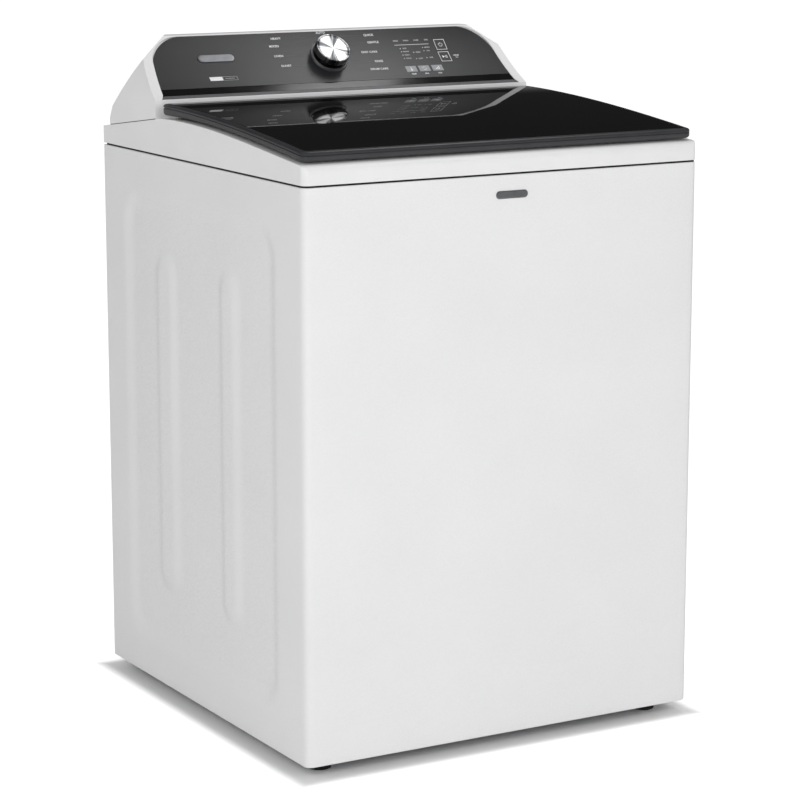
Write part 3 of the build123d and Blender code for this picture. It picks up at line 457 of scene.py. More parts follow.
def buildCamera():
    lens = bpy.data.cameras.new("camera")
    lens.lens, lens.sensor_width = camera["lens"], 36.0
    lens.clip_start, lens.clip_end = 0.05, 60.0
    view = placeObject("camera", lens)
    view.location = camera["place"]
    view.rotation_euler = (radians(90 - camera["pitch"]), 0, radians(-camera["yaw"]))
    bpy.context.scene.camera = view
    bpy.context.scene.view_settings.view_transform = "Standard"


def buildWorld():
    world = bpy.data.worlds.new("whiteStudio")
    world.use_nodes = True
    bpy.context.scene.world = world
    tree = world.node_tree
    tree.nodes.clear()
    # what a gloss surface mirrors: a pale horizon, a dark band above it and a soft ceiling
    coords = addNode(tree, "ShaderNodeTexCoord").outputs["Generated"]
    height = addNode(tree, "ShaderNodeSeparateXYZ", {"Vector": coords}).outputs[2]
    glow = maths(tree, "MAXIMUM", rescale(tree, height, 0.02, 0.16, 1.0, 0.0, "SMOOTHSTEP"),
                 rescale(tree, height, 0.62, 0.92, 0.0, 0.30, "SMOOTHSTEP"))
    rays = addNode(tree, "ShaderNodeLightPath").outputs
    white = (1, 1, 1, 1)
    mirrored = mixTones(tree, glow, "#2b2b2b", "#d8d8d8")
    reflected, plain, seen = [firstOut(tree, "ShaderNodeBackground", {"Color": colour, "Strength": strength})
                              for colour, strength in ((mirrored, 1.0), (white, studio["sky"]), (white, 1.05))]
    first = firstOut(tree, "ShaderNodeMixShader", {0: rays["Is Glossy Ray"], 1: plain, 2: reflected})
    second = firstOut(tree, "ShaderNodeMixShader", {0: rays["Is Camera Ray"], 1: first, 2: seen})
    addNode(tree, "ShaderNodeOutputWorld", {"Surface": second})


def buildFloor():
    floor = meshObject("studioFloor", [(-40, -40, 0), (40, -40, 0), (40, 40, 0), (-40, 40, 0)], [(0, 1, 2, 3)])
    paper = coatedFinish("Matt white studio floor", ("#ffffff", "#fdfdfd"), (0.8, 0.9), 900, 60, 0.01)
    tree, shader, spot = insideOf(paper)
    shader.inputs["Emission Color"].default_value = (1, 1, 1, 1)
    # the paper glows white except close round the machine's foot, where a thin contact shadow stays
    folded = maths(tree, "ABSOLUTE", spot, kind="ShaderNodeVectorMath")
    beyond = maths(tree, "SUBTRACT", folded, (halfW, -frontY, 0), kind="ShaderNodeVectorMath")
    split = addNode(tree, "ShaderNodeSeparateXYZ", {"Vector": beyond}).outputs
    away = maths(tree, "MAXIMUM", split[0], split[1])
    glow = rescale(tree, away, studio["shadowFrom"], studio["shadowTo"], 0.0, studio["floorGlow"], "SMOOTHSTEP")
    seen = maths(tree, "MULTIPLY", glow, addNode(tree, "ShaderNodeLightPath").outputs["Is Camera Ray"])
    tree.links.new(seen, shader.inputs["Emission Strength"])
    floor.data.materials.append(paper)


def buildStudio():
    buildCamera()
    buildWorld()
    areaLight("keyLight", (0.9, -3.4, 1.9), (0.1, 0, 0.6), 2.4, 2.4, studio["keyPower"])
    areaLight("fillLight", (-3.4, 0.2, 1.9), (-0.2, 0, 0.7), 2.0, 1.6, studio["fillPower"])
    areaLight("grazeLight", (-2.2, -2.7, 1.6), (-0.35, 0, 0.6), 0.7, 1.4, studio["grazePower"])
    areaLight("topLight", (1.06, 0.0, 2.95), (0, 0.05, 1.0), 1.7, 0.28, studio["topPower"], glossy=True)
    buildFloor()


# cabinet

cabinetSkin = {"cornerRadius": 12.0, "rearRadius": 1.5, "sheet": 0.9, "edgeRadius": 1.6, "cell": 6.4,
               "topFlange": 22.0, "bottomFlange": 18.0, "rearFlange": 28.0, "rearFrame": 25.0,
               "recess": 5.0, "recessWall": 32.0, "recessRadius": 62.0, "ribHeight": 4.4, "ribWall": 26.0}


def roundedPadDepth(y, z, y0, y1, z0, z1, radius, wall):
    # 0 outside the pad, rising over `wall` to 1 inside
    dy = abs(y - (y0 + y1) / 2) - ((y1 - y0) / 2 - radius)
    dz = abs(z - (z0 + z1) / 2) - ((z1 - z0) / 2 - radius)
    distance = sqrt(max(dy, 0) ** 2 + max(dz, 0) ** 2) + min(max(dy, dz), 0) - radius
    return smoothStep(0, wall, -distance)


def sideDepth(y, z):
    s = cabinetSkin
    y0, y1 = frontY + 87 * mm, rearY - 71 * mm
    z0, z1 = cabLow.z + 58 * mm, cabHigh.z - 58 * mm
    depth = s["recess"] * roundedPadDepth(y, z, y0, y1, z0, z1, s["recessRadius"] * mm, s["recessWall"] * mm)
    for low, high in ((0.235, 0.38), (0.64, 0.80)):
        ya, yb = y0 + (y1 - y0) * low, y0 + (y1 - y0) * high
        rib = roundedPadDepth(y, z, ya, yb, z0 + 98 * mm, z1 - 92 * mm, (yb - ya) / 2 - 1 * mm, s["ribWall"] * mm)
        depth -= s["ribHeight"] * rib
    return depth * mm


def cabinetRing(inset, z):
    s = cabinetSkin
    front = max(s["cornerRadius"] * mm - inset, 0.5 * mm)
    rear = max(s["rearRadius"] * mm - inset, 0.5 * mm)
    corners = boxCorners(-halfW + inset, halfW - inset, frontY + inset, rearY - inset, front, rear)
    sideCells = int((rearY - frontY) / (s["cell"] * mm))
    flange = (s["rearFlange"] - s["rearRadius"]) * mm / (2 * halfW - 2 * s["rearRadius"] * mm)
    rearCuts = [flange] + [flange + (1 - 2 * flange) * f for f in evenly(9)] + [1 - flange]
    cuts = (evenly(24), evenly(sideCells), rearCuts, evenly(sideCells))
    ring = []
    for p in roundedOutline(corners, 5, cuts):
        x = p.x
        if inset == 0 and abs(x) > halfW - 0.01 * mm:
            x -= (1 if x > 0 else -1) * sideDepth(p.y, z)
        ring.append(Vector((x, p.y, z)))
    return ring


def buildCabinet():
    s = cabinetSkin
    bottom, top, edge = cabLow.z, cabHigh.z, s["edgeRadius"] * mm
    rows = [(s["bottomFlange"] * mm, bottom), (edge, bottom)]
    rows += [(edge * (1 - sin(t * pi / 6)), bottom + edge * (1 - cos(t * pi / 6))) for t in (1, 2)]
    inner0, inner1 = bottom + s["rearFrame"] * mm, top - s["rearFrame"] * mm
    heights = [bottom + edge, (bottom + edge + inner0) / 2, inner0]
    count = int((inner1 - inner0) / (s["cell"] * mm))
    heights += [inner0 + (inner1 - inner0) * f for f in evenly(count)]
    heights += [inner1, (inner1 + top - edge) / 2, top - edge]
    rows += [(0.0, z) for z in heights]
    rows += [(edge * (1 - cos(t * pi / 6)), top - edge * (1 - sin(t * pi / 6))) for t in (1, 2)]
    rows += [(edge, top), (s["topFlange"] * mm, top)]
    rings = [cabinetRing(inset, z) for inset, z in rows]
    count = len(rings[0])
    points = [p for ring in rings for p in ring]
    faces = []
    for face in ringFaces(len(rings), count):
        middle = sum((points[i] for i in face), Vector()) / 4
        opening = (middle.y > rearY - 0.5 * mm and abs(middle.x) < halfW - s["rearFlange"] * mm
                   and inner0 < middle.z < inner1)
        if not opening:
            faces.append(face)
    skin = meshObject("cabinetSkin", points, faces, 50, merge=0.00001)
    thicken(skin, s["sheet"])
    bakeModifiers(skin)
    plates = [gussetPlate(sx, sy) for sx in (-1, 1) for sy in (-1, 1)]
    piece = joined("cabinet_skin", [skin] + plates)
    settle(piece, "cabinet", "white_enamel", ["cabinet_shell"])


def gussetPlate(sx, sy):
    # folded corner plate that the suspension rod hangs from
    z, leg, corner, sheet = cabHigh.z - 17 * mm, 0.215, 0.012, 3 * mm
    cx = sx * (halfW - 0.9 * mm)
    cy = rearY - 0.9 * mm if sy > 0 else frontY + 0.9 * mm
    outline = [(cx - sx * corner, cy), (cx - sx * leg, cy), (cx, cy - sy * leg), (cx, cy - sy * corner)]
    plate = prism("gusset", [(x, y, z) for x, y in outline], [(x, y, z + sheet) for x, y in outline])
    softenEdges(plate, 0.8, 2)
    return bakeModifiers(plate)


# edges of moulded and pressed parts taken from the frame

def softenEdges(piece, width, segments=2, weighted=False):
    bevel = piece.modifiers.new("softEdges", "BEVEL")
    bevel.width, bevel.segments = width * mm, segments
    bevel.limit_method = "WEIGHT" if weighted else "ANGLE"
    bevel.angle_limit = radians(38)
    bevel.use_clamp_overlap = True
    level = piece.modifiers.new("faceNormals", "WEIGHTED_NORMAL")
    level.keep_sharp = True
    level.weight = 60


def softCopy(node, width, segments=2, weigh=None, name=None):
    mesh = frame["nodes"][node].data.copy()
    edit = bmesh.new()
    edit.from_mesh(mesh)
    bmesh.ops.remove_doubles(edit, verts=edit.verts, dist=0.00001)
    bmesh.ops.dissolve_degenerate(edit, edges=edit.edges, dist=0.00001)
    bmesh.ops.dissolve_limit(edit, angle_limit=radians(0.6), verts=edit.verts, edges=edit.edges)
    if weigh:
        layer = edit.edges.layers.float.new("bevel_weight_edge")
        for edge in edit.edges:
            if len(edge.link_faces) == 2 and edge.calc_face_angle(0) > radians(30):
                edge[layer] = weigh((edge.verts[0].co + edge.verts[1].co) / 2)
    edit.to_mesh(mesh)
    edit.free()
    mesh.materials.clear()
    smoothShade(mesh, 38)
    piece = placeObject(name or node + "_finished", mesh)
    softenEdges(piece, width, segments, weighted=weigh is not None)
    return bakeModifiers(piece)


def finishNode(node, width, segments=2, weigh=None):
    piece = softCopy(node, width, segments, weigh)
    return settle(piece, frame["nodes"][node]["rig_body"], slotOf[node], [node])


def buildDeck():
    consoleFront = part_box("console_housing")[0].y

    def weigh(p):
        outer = abs(p.x) > halfW - 6 * mm or p.y < frontY + 6 * mm
        if not outer or p.z < deckZ + 8 * mm:
            return 0.16
        return 1.0 if p.y < consoleFront - 22 * mm else 0.2

    finishNode("top_deck", 4.0, 4, weigh)
    # a dark black-rubber strip that fills the seam between cabinet and deck: painted shadow of the seam gap
    rings = []
    for inset, z in ((1.3, 0.15), (5.7, 0.15), (5.7, 2.85), (1.3, 2.85)):
        radius = (cabinetSkin["cornerRadius"] - inset) * mm
        corners = boxCorners(-halfW + inset * mm, halfW - inset * mm, frontY + inset * mm, rearY - inset * mm,
                             radius, radius)
        rings += [Vector((p.x, p.y, cabHigh.z + z * mm)) for p in roundedOutline(corners, 6)]
    count = len(rings) // 4
    settle(meshObject("deck_seam_gasket", rings, ringFaces(4, count, closed=True)), "cabinet", "black_rubber")
    finishNode("bleach_dispenser", 0.6)
    finishNode("lid_lock_housing", 0.5)


# console

console = {"chord": 135.1, "sag": 6.7, "down": 0.6, "darkReflectionFrom": 10.0, "darkReflectionTo": 25.5, "foot": 1.2,
           "halfWidths": (336.05, 330.65, 315.25), "kneeAt": 12.0, "endRadius": 56.0}


def fasciaHeight(t):
    # the face is a shallow hollow arc; t runs up the slope in millimetres
    half, sag = console["chord"] / 2, console["sag"]
    radius = (half ** 2 + sag ** 2) / (2 * sag)
    return (radius - sag) - sqrt(radius ** 2 - (t - half) ** 2) - console["down"]


def onFascia(x, t, h=0.0, follow=True):
    lift = h + (fasciaHeight(t) if follow else 0.0)
    return fasciaFoot + Vector((x * mm, 0, 0)) + upSlope * (t * mm) + outward * (lift * mm)


def fasciaHalfWidth(t, inset=0.0):
    # the ends lean in slowly up to a knee, then faster, and round off at the top
    foot, knee, top = console["halfWidths"]
    kneeAt, end, radius = console["kneeAt"], console["chord"] - 2.0, console["endRadius"]
    if t < kneeAt:
        wide = foot + (knee - foot) * (t - console["foot"]) / (kneeAt - console["foot"])
    else:
        wide = knee + (top - knee) * (t - kneeAt) / (end - kneeAt)
    rise = t - (end - radius)
    if rise > 0:
        wide -= radius - sqrt(max(radius ** 2 - rise ** 2, 0.0))
    return wide - inset


def fasciaStrip(name, low, high, lift, thick, inset, rows):
    # a panel between two heights on the slope, with its own thickness and polished edges
    columns = 40
    points = []
    for j in range(rows + 1):
        f = j / rows
        bend = sin(f * pi / 2) if high > 100 else f
        t = low + (high - low) * bend
        wide = fasciaHalfWidth(t, inset)
        points += [onFascia(wide * (2 * i / columns - 1), t, lift) for i in range(columns + 1)]
    panel = meshObject(name, points, gridFaces(rows, columns), 60)
    thicken(panel, thick)
    softenEdges(panel, 0.25, 2)
    return bakeModifiers(panel)


def cutHoles(panel, cutters):
    for cutter in cutters:
        hole = panel.modifiers.new("hole", "BOOLEAN")
        hole.object, hole.operation, hole.solver = cutter, "DIFFERENCE", "EXACT"
    bakeModifiers(panel)
    for cutter in cutters:
        bpy.data.objects.remove(cutter)
    smoothShade(panel.data, 40)
    return panel


def slopeBlock(name, x0, x1, t0, t1, h0, h1):
    corners = ((x0, t0), (x1, t0), (x1, t1), (x0, t1))
    return prism(name, *[[onFascia(x, t, h, follow=False) for x, t in corners] for h in (h0, h1)])


buttonSpots = {"power_button": (edgeX - 139, edgeX - 117, 86, 109),
               "start_button": (edgeX - 140, edgeX - 118, 60, 83)}
for number, offset in ((1, 216), (2, 190.5), (3, 165)):
    buttonSpots["option_button_" + str(number)] = (edgeX - offset, edgeX - offset + 21.5, 40, 54)


def buildConsole():
    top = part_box("console_housing")[1].z
    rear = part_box("console_housing")[1].y
    face = fasciaFoot.y

    def weigh(p):
        offSlope = (p - fasciaFoot).dot(outward)
        t = (p - fasciaFoot).dot(upSlope) / mm
        if abs(p.y - face) < 1 * mm or p.z < deckZ + 60 * mm:
            return 0.16
        inPocket = abs(p.x) / mm < fasciaHalfWidth(min(max(t, 1.2), 133.0)) + 1.5 and 0 < t < 134.5
        if offSlope < 2 * mm and offSlope > -12 * mm and inPocket:
            return 0.16
        if p.z > top - 40 * mm and p.y < face + 103 * mm:
            return 0.16
        if p.z > top - 30 * mm or abs(p.x) > halfW - 40 * mm:
            return 1.0
        return 0.2 if p.y < rear - 30 * mm else 0.5

    finishNode("console_housing", 5.0, 4, weigh)
    finishNode("console_rear_cover", 0.6)
    seams = []
    for side in (-1, 1):
        points = []
        for k in range(25):
            y = face + (rear - face - 20 * mm) * k / 24
            z = deckZ + (57.6 - 0.135 * (y - face + 15.5 * mm) / mm) * mm
            for out, rise in ((-0.6, -0.55), (0.12, -0.55), (0.12, 0.55), (-0.6, 0.55)):
                points.append((side * (halfW + out * mm), y, z + rise * mm))
        seams.append(meshObject("seam", points, cappedFaces(25, 4)))
    settle(joined("console_seam_line", seams), "cabinet", "black_rubber")
    low, darkReflectionFrom, darkReflectionTo = console["foot"], console["darkReflectionFrom"], console["darkReflectionTo"]
    high = console["chord"] - 2.0
    main = fasciaStrip("fascia_film", darkReflectionTo, high - 0.05, 0.0, 1.6, 0.2, 40)
    cutters = [slopeBlock("cut" + key, x0, x1, t0, t1, -30, 10) for key, (x0, x1, t0, t1) in buttonSpots.items()]
    cutHoles(main, cutters)
    settle(main, "cabinet", "graphite_plastic", ["fascia_panel"])
    # a near-black gloss band and a grey strip below it: painted reflections, the band for a dark reflection and the
    # strip for the lid reflected in the foot of the face
    band = fasciaStrip("fascia_gloss_band", darkReflectionFrom, darkReflectionTo - 0.15, -0.35, 1.2, 0.25, 6)
    settle(band, "cabinet", "black_glass", (), finishes["paintedDarkReflectionBand"])
    foot = fasciaStrip("fascia_foot_strip", low + 0.1, darkReflectionFrom - 0.15, 0.0, 1.4, 0.4, 6)
    settle(foot, "cabinet", "graphite_plastic", (), finishes["paintedLidReflectionStrip"])
    for key in buttonSpots:
        finishNode(key, 0.35, 2)


# printed console marks

marks = {"lift": 0.12, "buttonLift": 0.52, "labelSize": 5.8, "smallSize": 3.5, "bolder": 0.13}
programmes = [
    (-86.6, 122.3, "HEAVY", -1), (-94.3, 107.5, "MIXED", -1), (-92.5, 87.4, "LINEN", -1), (-86.0, 66.2, "DUVET", -1),
    (-0.3, 130.2, "AUTO", 0), (89.5, 122.4, "QUICK", 1), (93.4, 107.8, "GENTLE", 1), (79.2, 88.2, "EASY CARE", 1),
    (89.9, 67.6, "RINSE", 1), (83.7, 50.4, "DRUM CARE", 1),
]


def printText(text, x, t, size):
    curve = bpy.data.curves.new("label", "FONT")
    curve.body, curve.size, curve.align_x, curve.align_y = text, size, "CENTER", "CENTER"
    curve.space_character, curve.offset = 1.06, marks["bolder"]
    holder = placeObject("label", curve)
    graph = bpy.context.evaluated_depsgraph_get()
    mesh = bpy.data.meshes.new_from_object(holder.evaluated_get(graph), depsgraph=graph)
    bpy.data.objects.remove(holder)
    for vertex in mesh.vertices:
        vertex.co = onFascia(x + vertex.co.x, t + vertex.co.y, marks["lift"])
    return placeObject("label", mesh)


def printBar(x0, x1, t0, t1):
    steps = max(int((t1 - t0) / 3), 1)
    heights = [t0 + (t1 - t0) * j / steps for j in range(steps + 1)]
    return ribbon("bar", [onFascia(x, t, marks["lift"]) for t in heights for x in (x0, x1)])


def printFrame(x0, x1, t0, t1, line):
    return [printBar(x0, x1, t0, t0 + line), printBar(x0, x1, t1 - line, t1),
            printBar(x0, x0 + line, t0 + line, t1 - line), printBar(x1 - line, x1, t0 + line, t1 - line)]


def printArc(x, t, radius, line, start, sweep, steps=20):
    points = []
    for k in range(steps + 1):
        turn = radians(start + sweep * k / steps)
        for r in (radius - line / 2, radius + line / 2):
            points.append(onFascia(x + r * cos(turn), t + r * sin(turn), marks["lift"]))
    return ribbon("arc", points)


def printShape(outline):
    return meshObject("shape", [onFascia(x, t, marks["lift"]) for x, t in outline], [tuple(range(len(outline)))])


def settleInk(name, parts, body, ink):
    piece = joined(name, parts)
    flipTowards(piece, outward)
    if body != "cabinet":
        piece.data.transform(Matrix.Translation(outward * ((marks["buttonLift"] - marks["lift"]) * mm)))
    settle(piece, body, "white_plastic", (), finishes[ink])


def flipTowards(piece, direction):
    edit = bmesh.new()
    edit.from_mesh(piece.data)
    bmesh.ops.triangulate(edit, faces=edit.faces)
    edit.normal_update()
    bmesh.ops.reverse_faces(edit, faces=[f for f in edit.faces if f.normal.dot(direction) < 0])
    edit.to_mesh(piece.data)
    edit.free()


def buildMarks():
    bright, dim, hairlines = [], [], []
    for x, t, text, side in programmes:
        bright.append(printText(text, x, t, marks["labelSize"]))
        reach = 0.36 * marks["labelSize"] * len(text) + 3
        if side:
            inner = 36 if abs(t - 82) < 30 else 30
            hairlines.append(printBar(*sorted((x - side * reach, side * inner)), t - 0.15, t + 0.15))
    # display group: a row of stage lamps, a level bar and three columns of settings
    for k, word in enumerate(("SENSE", "WASH", "RINSE", "SPIN")):
        dim.append(printText(word, edgeX - 212 + 20 * k, 108.5, marks["smallSize"]))
    bright.append(printBar(edgeX - 217, edgeX - 150, 99.6, 100.4))
    columns = ((200, (92.4, 85.7, 78.6, 71.1), ("HOT", "WARM", "COOL", "COLD")),
               (177, (83.5, 69.8), ("HIGH", "LOW")), (156, (93.0, 85.7, 70.9), ("MORE", "STD", "LESS")))
    for back, rows, words in columns:
        for t, word in zip(rows, words):
            dim.append(printText(word, edgeX - back, t, marks["smallSize"]))
            bright.append(printArc(edgeX - back - 8.5, t, 0.6, 0.7, 0, 360, 10))
    for x0, word in ((205, "TEMP"), (180, "SPIN"), (154, "SOIL")):
        bright.append(printText(word, edgeX - x0, 34.8, marks["smallSize"] + 0.2))
    bright.append(printText("HOLD", edgeX - 106, 73.6, marks["smallSize"] + 0.2))
    bright.append(printText("3 s", edgeX - 106, 69.4, marks["smallSize"] + 0.2))
    bright.append(printBar(-234, -211, 40.5, 49.0))
    dim += printFrame(-210.5, -184, 40.5, 49.0, 0.5)
    dim.append(printBar(-206, -189, 44.4, 45.2))
    settleInk("console_marks_bright", bright, "cabinet", "ink")
    settleInk("console_marks_dim", dim, "cabinet", "dimInk")
    settleInk("console_hairlines", hairlines, "cabinet", "hairInk")
    buildButtonMarks()


def buildButtonMarks():
    for key, body in (("power_button", "power"), ("start_button", "start")):
        x0, x1, t0, t1 = buttonSpots[key]
        cx, ct = (x0 + x1) / 2, (t0 + t1) / 2
        parts = printFrame(x0 + 0.7, x1 - 0.7, t0 + 0.7, t1 - 0.7, 0.95)
        if body == "power":
            parts += [printArc(cx, ct, 3.6, 0.8, 120, 300), printBar(cx - 0.4, cx + 0.4, ct + 0.6, ct + 4.6)]
        else:
            parts.append(printShape([(cx - 5.0, ct - 3.0), (cx - 0.2, ct), (cx - 5.0, ct + 3.0)]))
            parts += [printBar(cx + x, cx + x + 1.0, ct - 3.0, ct + 3.0) for x in (1.0, 3.4)]
        settleInk(key + "_mark", parts, body, "ink")
    icons = {
        1: lambda x, t: [printBar(x - 0.6, x + 0.6, t - 1, t + 4.4), printArc(x, t - 2.6, 1.5, 1.2, 0, 360)],
        2: lambda x, t: [printArc(x, t, 3.2, 0.8, 40, 130), printArc(x, t, 3.2, 0.8, 220, 130)],
        3: lambda x, t: [printBar(x - 4 + 3 * k, x - 2.4 + 3 * k, t - 3.4, t - 1.2 + 2.4 * k) for k in range(3)],
    }
    for number, icon in icons.items():
        x0, x1, t0, t1 = buttonSpots["option_button_" + str(number)]
        name = "option_button_" + str(number) + "_mark"
        settleInk(name, icon((x0 + x1) / 2, (t0 + t1) / 2), "option_" + str(number), "ink")


# blank badges

def plaque(name, place, width, height):
    # a plain rounded plate with a soft edge, standing where a maker would put a name
    thick, corner = 1.2, height * 0.49
    outline = roundedOutline(boxCorners(-width / 2, width / 2, -height / 2, height / 2, corner, corner), 8)
    rows = ((0.0, 0.0), (0.0, thick * 0.6), (thick * 0.2, thick * 0.88), (thick * 0.6, thick),
            (height * 0.3, thick * 0.82))
    points = []
    for inset, lift in rows:
        scaleX, scaleY = 1 - 2 * inset / width, 1 - 2 * inset / height
        points += [place @ Vector((p.x * scaleX * mm, p.y * scaleY * mm, lift * mm)) for p in outline]
    piece = meshObject(name, points, cappedFaces(len(rows), len(outline)), 40)
    settle(piece, "cabinet", "chrome_trim", (), finishes["badgeSatin"])


def buildBadges():
    centre = Vector((6 * mm, frontY - 0.05 * mm, 867 * mm))
    plaque("front_blank_badge", axisFrame(centre, sideways, Vector((0, 0, 1)), Vector((0, -1, 0))), 56, 12)
    lean = (onFascia(0, 92) - onFascia(0, 84)).normalized()
    plaque("console_blank_badge", axisFrame(onFascia(-207.5, 88.0), sideways, lean, sideways.cross(lean)), 66, 15)


# knob

knobShape = {"radius": 30.0, "capHeight": 11.5, "steps": 96}


def knobTop():
    half = console["chord"] / 2
    return -console["sag"] * (1 - ((knobT / mm - half) / half) ** 2) + 22.0


def turningMap(piece, place, radius):
    # u goes once round the axis and v runs out from it
    layer = piece.data.uv_layers.new(name="turning")
    inverse = place.inverted()
    for polygon in piece.data.polygons:
        local = [inverse @ piece.data.vertices[v].co for v in polygon.vertices]
        centre = inverse @ polygon.center
        base = atan2(centre.y, centre.x) / (2 * pi)
        for index, p in zip(polygon.loop_indices, local):
            turn = atan2(p.y, p.x) / (2 * pi)
            if p.xy.length < 0.0001:
                turn = base
            turn += round(base - turn)
            layer.data[index].uv = (turn, p.xy.length / (radius * mm))


def buildKnob():
    place = axisFrame(knobBase, sideways, upSlope, outward)
    top, r, steps = knobTop(), knobShape["radius"], knobShape["steps"]
    low = top - knobShape["capHeight"]
    faceProfile = [(r - 1.5, low + 0.6), (r - 0.5, low), (r, low + 0.8), (r, top - 1.0), (r - 0.35, top - 0.25),
                   (r - 1.1, top), (r - 2.0, top - 0.05), (r - 2.5, top - 0.5), (r - 3.0, top - 0.7)]
    faceProfile += [((r - 3.0) * f, top - 0.7 - 0.25 * (1 - f * f)) for f in (0.85, 0.68, 0.5, 0.34, 0.2, 0.08, 0.0)]
    cap = lathe("knob_cap_turned", faceProfile, steps, place)
    turningMap(cap, place, r)
    settle(cap, "knob", "spun_aluminium", ["knob_cap"])
    base = -6.2
    skirt = lathe("skirt", [(0, base), (25.6, base), (26.2, base + 0.6), (26.6, 0.0), (27.6, low - 1.2),
                            (28.2, low + 0.2), (0, low + 0.2)], steps, place)
    # two black lugs stand out over the chrome ring where it shows dark reflections: painted dark reflections, made as
    # black geometry joined to the grip
    darkReflectionLugs = []
    for turn in (225, 45):
        local = place @ Matrix.Rotation(radians(turn), 4, "Z")
        points = []
        for h, grow in ((0.0, 0.0), (1.2, 0.8), (low - 1.5, 0.6), (low - 0.4, -0.4)):
            for x, y in ((20, -7.5), (29.0, -7.2), (30.6, -5.0), (31.0, 0), (30.6, 5.0), (29.0, 7.2), (20, 7.5)):
                points.append(local @ Vector(((x + (grow if x > 25 else 0)) * mm * 0.985, y * mm, h * mm)))
        darkReflectionLugs.append(meshObject("lug", points, cappedFaces(4, 7), 45))
    piece = joined("knob_grip_moulded", [skirt] + darkReflectionLugs)
    settle(piece, "knob", "black_plastic", ["knob_grip"], finishes["knobBlack"])
    ringTop = fasciaHeight(knobT / mm) + 4.1
    bezel = lathe("knob_bezel_ring", [(28.5, -12), (33.0, -12), (33.0, ringTop - 1.6), (32.3, ringTop - 0.5),
                                      (30.9, ringTop), (29.6, ringTop - 0.4), (28.6, ringTop - 1.6)],
                  steps, place, closed=True)
    settle(bezel, "cabinet", "chrome_trim", ["knob_bezel"], finishes["ringSatin"])


# lid

# the heights are the four factors of a cubic that runs from the lid's front edge to its rear edge
lidShape = {"radiusFront": 11.0, "radiusRear": 9.0, "glassInset": 9.0, "hingeX": 42.0,
            "top": (48.55, 53.3, -10.44, -10.28), "under": (32.76, 50.86, 0.39, -22.14)}


def lidHeight(side, y):
    f = min(max((y - lidLow.y) / (lidHigh.y - lidLow.y), 0.0), 1.0)
    return deckZ + sum(factor * f ** power for power, factor in enumerate(lidShape[side])) * mm


def lidCorners(inset):
    s = lidShape
    front, rear = halfW - (4.0 + inset) * mm, halfW - (6.2 + inset) * mm
    r0, r1 = max(s["radiusFront"] - inset, 4.0) * mm, max(s["radiusRear"] - 0.5 * inset, 3.0) * mm
    y0, y1 = lidLow.y + inset * mm, lidHigh.y - inset * mm
    return [(-front, y0, r0), (front, y0, r0), (rear, y1, r1), (-rear, y1, r1)]


def windowCorners(grow):
    x = halfW - (58 + grow) * mm
    y0, y1 = lidLow.y + (48 + grow) * mm, lidHigh.y - (66 + grow) * mm
    return [(-x, y0, 40 * mm), (x, y0, 40 * mm), (x, y1, 40 * mm), (-x, y1, 40 * mm)]


def buildLid():
    cuts = (evenly(30), evenly(40), evenly(30), evenly(40))

    def ring(corners, height, side):
        return [Vector((p.x, p.y, lidHeight(side, p.y) + height * mm)) for p in roundedOutline(corners, 8, cuts)]

    glassSeat, glassEdge = -4.3, lidShape["glassInset"]
    above = ((glassEdge + 0.1, glassSeat), (glassEdge - 0.1, -0.9), (8.4, -0.45), (3.4, -0.9), (1.6, -1.5),
             (0.5, -2.7), (0.0, -4.4), (0.0, -5.6), (1.7, -5.9), (1.7, -7.1), (0.15, -7.4))
    below = ((0.15, 4.4), (0.9, 2.6), (2.4, 1.0), (4.6, 0.1), (8.0, 0.0))
    rings = [ring(windowCorners(0), glassSeat, "top")]
    rings += [ring(lidCorners(inset), height, "top") for inset, height in above]
    rings += [ring(lidCorners(inset), height, "under") for inset, height in below]
    rings += [ring(windowCorners(-1.5), 0.0, "under"), ring(windowCorners(0), 1.2, "under")]
    faces = ringFaces(len(rings), len(rings[0]), closed=True)
    rim = meshObject("lid_frame_moulded", [p for row in rings for p in row], faces, 45)
    pockets = []
    for side in (-1, 1):
        x = side * (halfW - lidShape["hingeX"] * mm)
        pockets.append(block("pocket", (x - 12 * mm, lidHigh.y - 24 * mm, deckZ + 40 * mm),
                             (x + 12 * mm, lidHigh.y + 1 * mm, deckZ + 75 * mm)))
    cutHoles(rim, pockets)
    settle(rim, "lid", "charcoal_plastic", ["lid_frame"])
    buildGlass()
    for node in ("lid_bumpers", "lid_strike"):
        finishNode(node, 0.3)


def buildGlass():
    # one bent pane: rows run front to rear and widen through the rounded corners
    inset, columns = lidShape["glassInset"] + 0.35, 30
    left = roundedOutline(lidCorners(inset), 10, ((), evenly(46), (), evenly(46)))
    edge = sorted({(round(p.y, 6), round(abs(p.x), 6)) for p in left if p.x < 0})
    points = [Vector((wide * (2 * i / columns - 1), y, lidHeight("top", y) - 0.45 * mm))
              for y, wide in edge for i in range(columns + 1)]
    pane = meshObject("lid_glass_pane", points, gridFaces(len(edge) - 1, columns), 60)
    thicken(pane, 3.8)
    softenEdges(pane, 0.5, 3)
    settle(bakeModifiers(pane), "lid", "black_glass", ["lid_glass"])


# pieces that a node group repeats on points

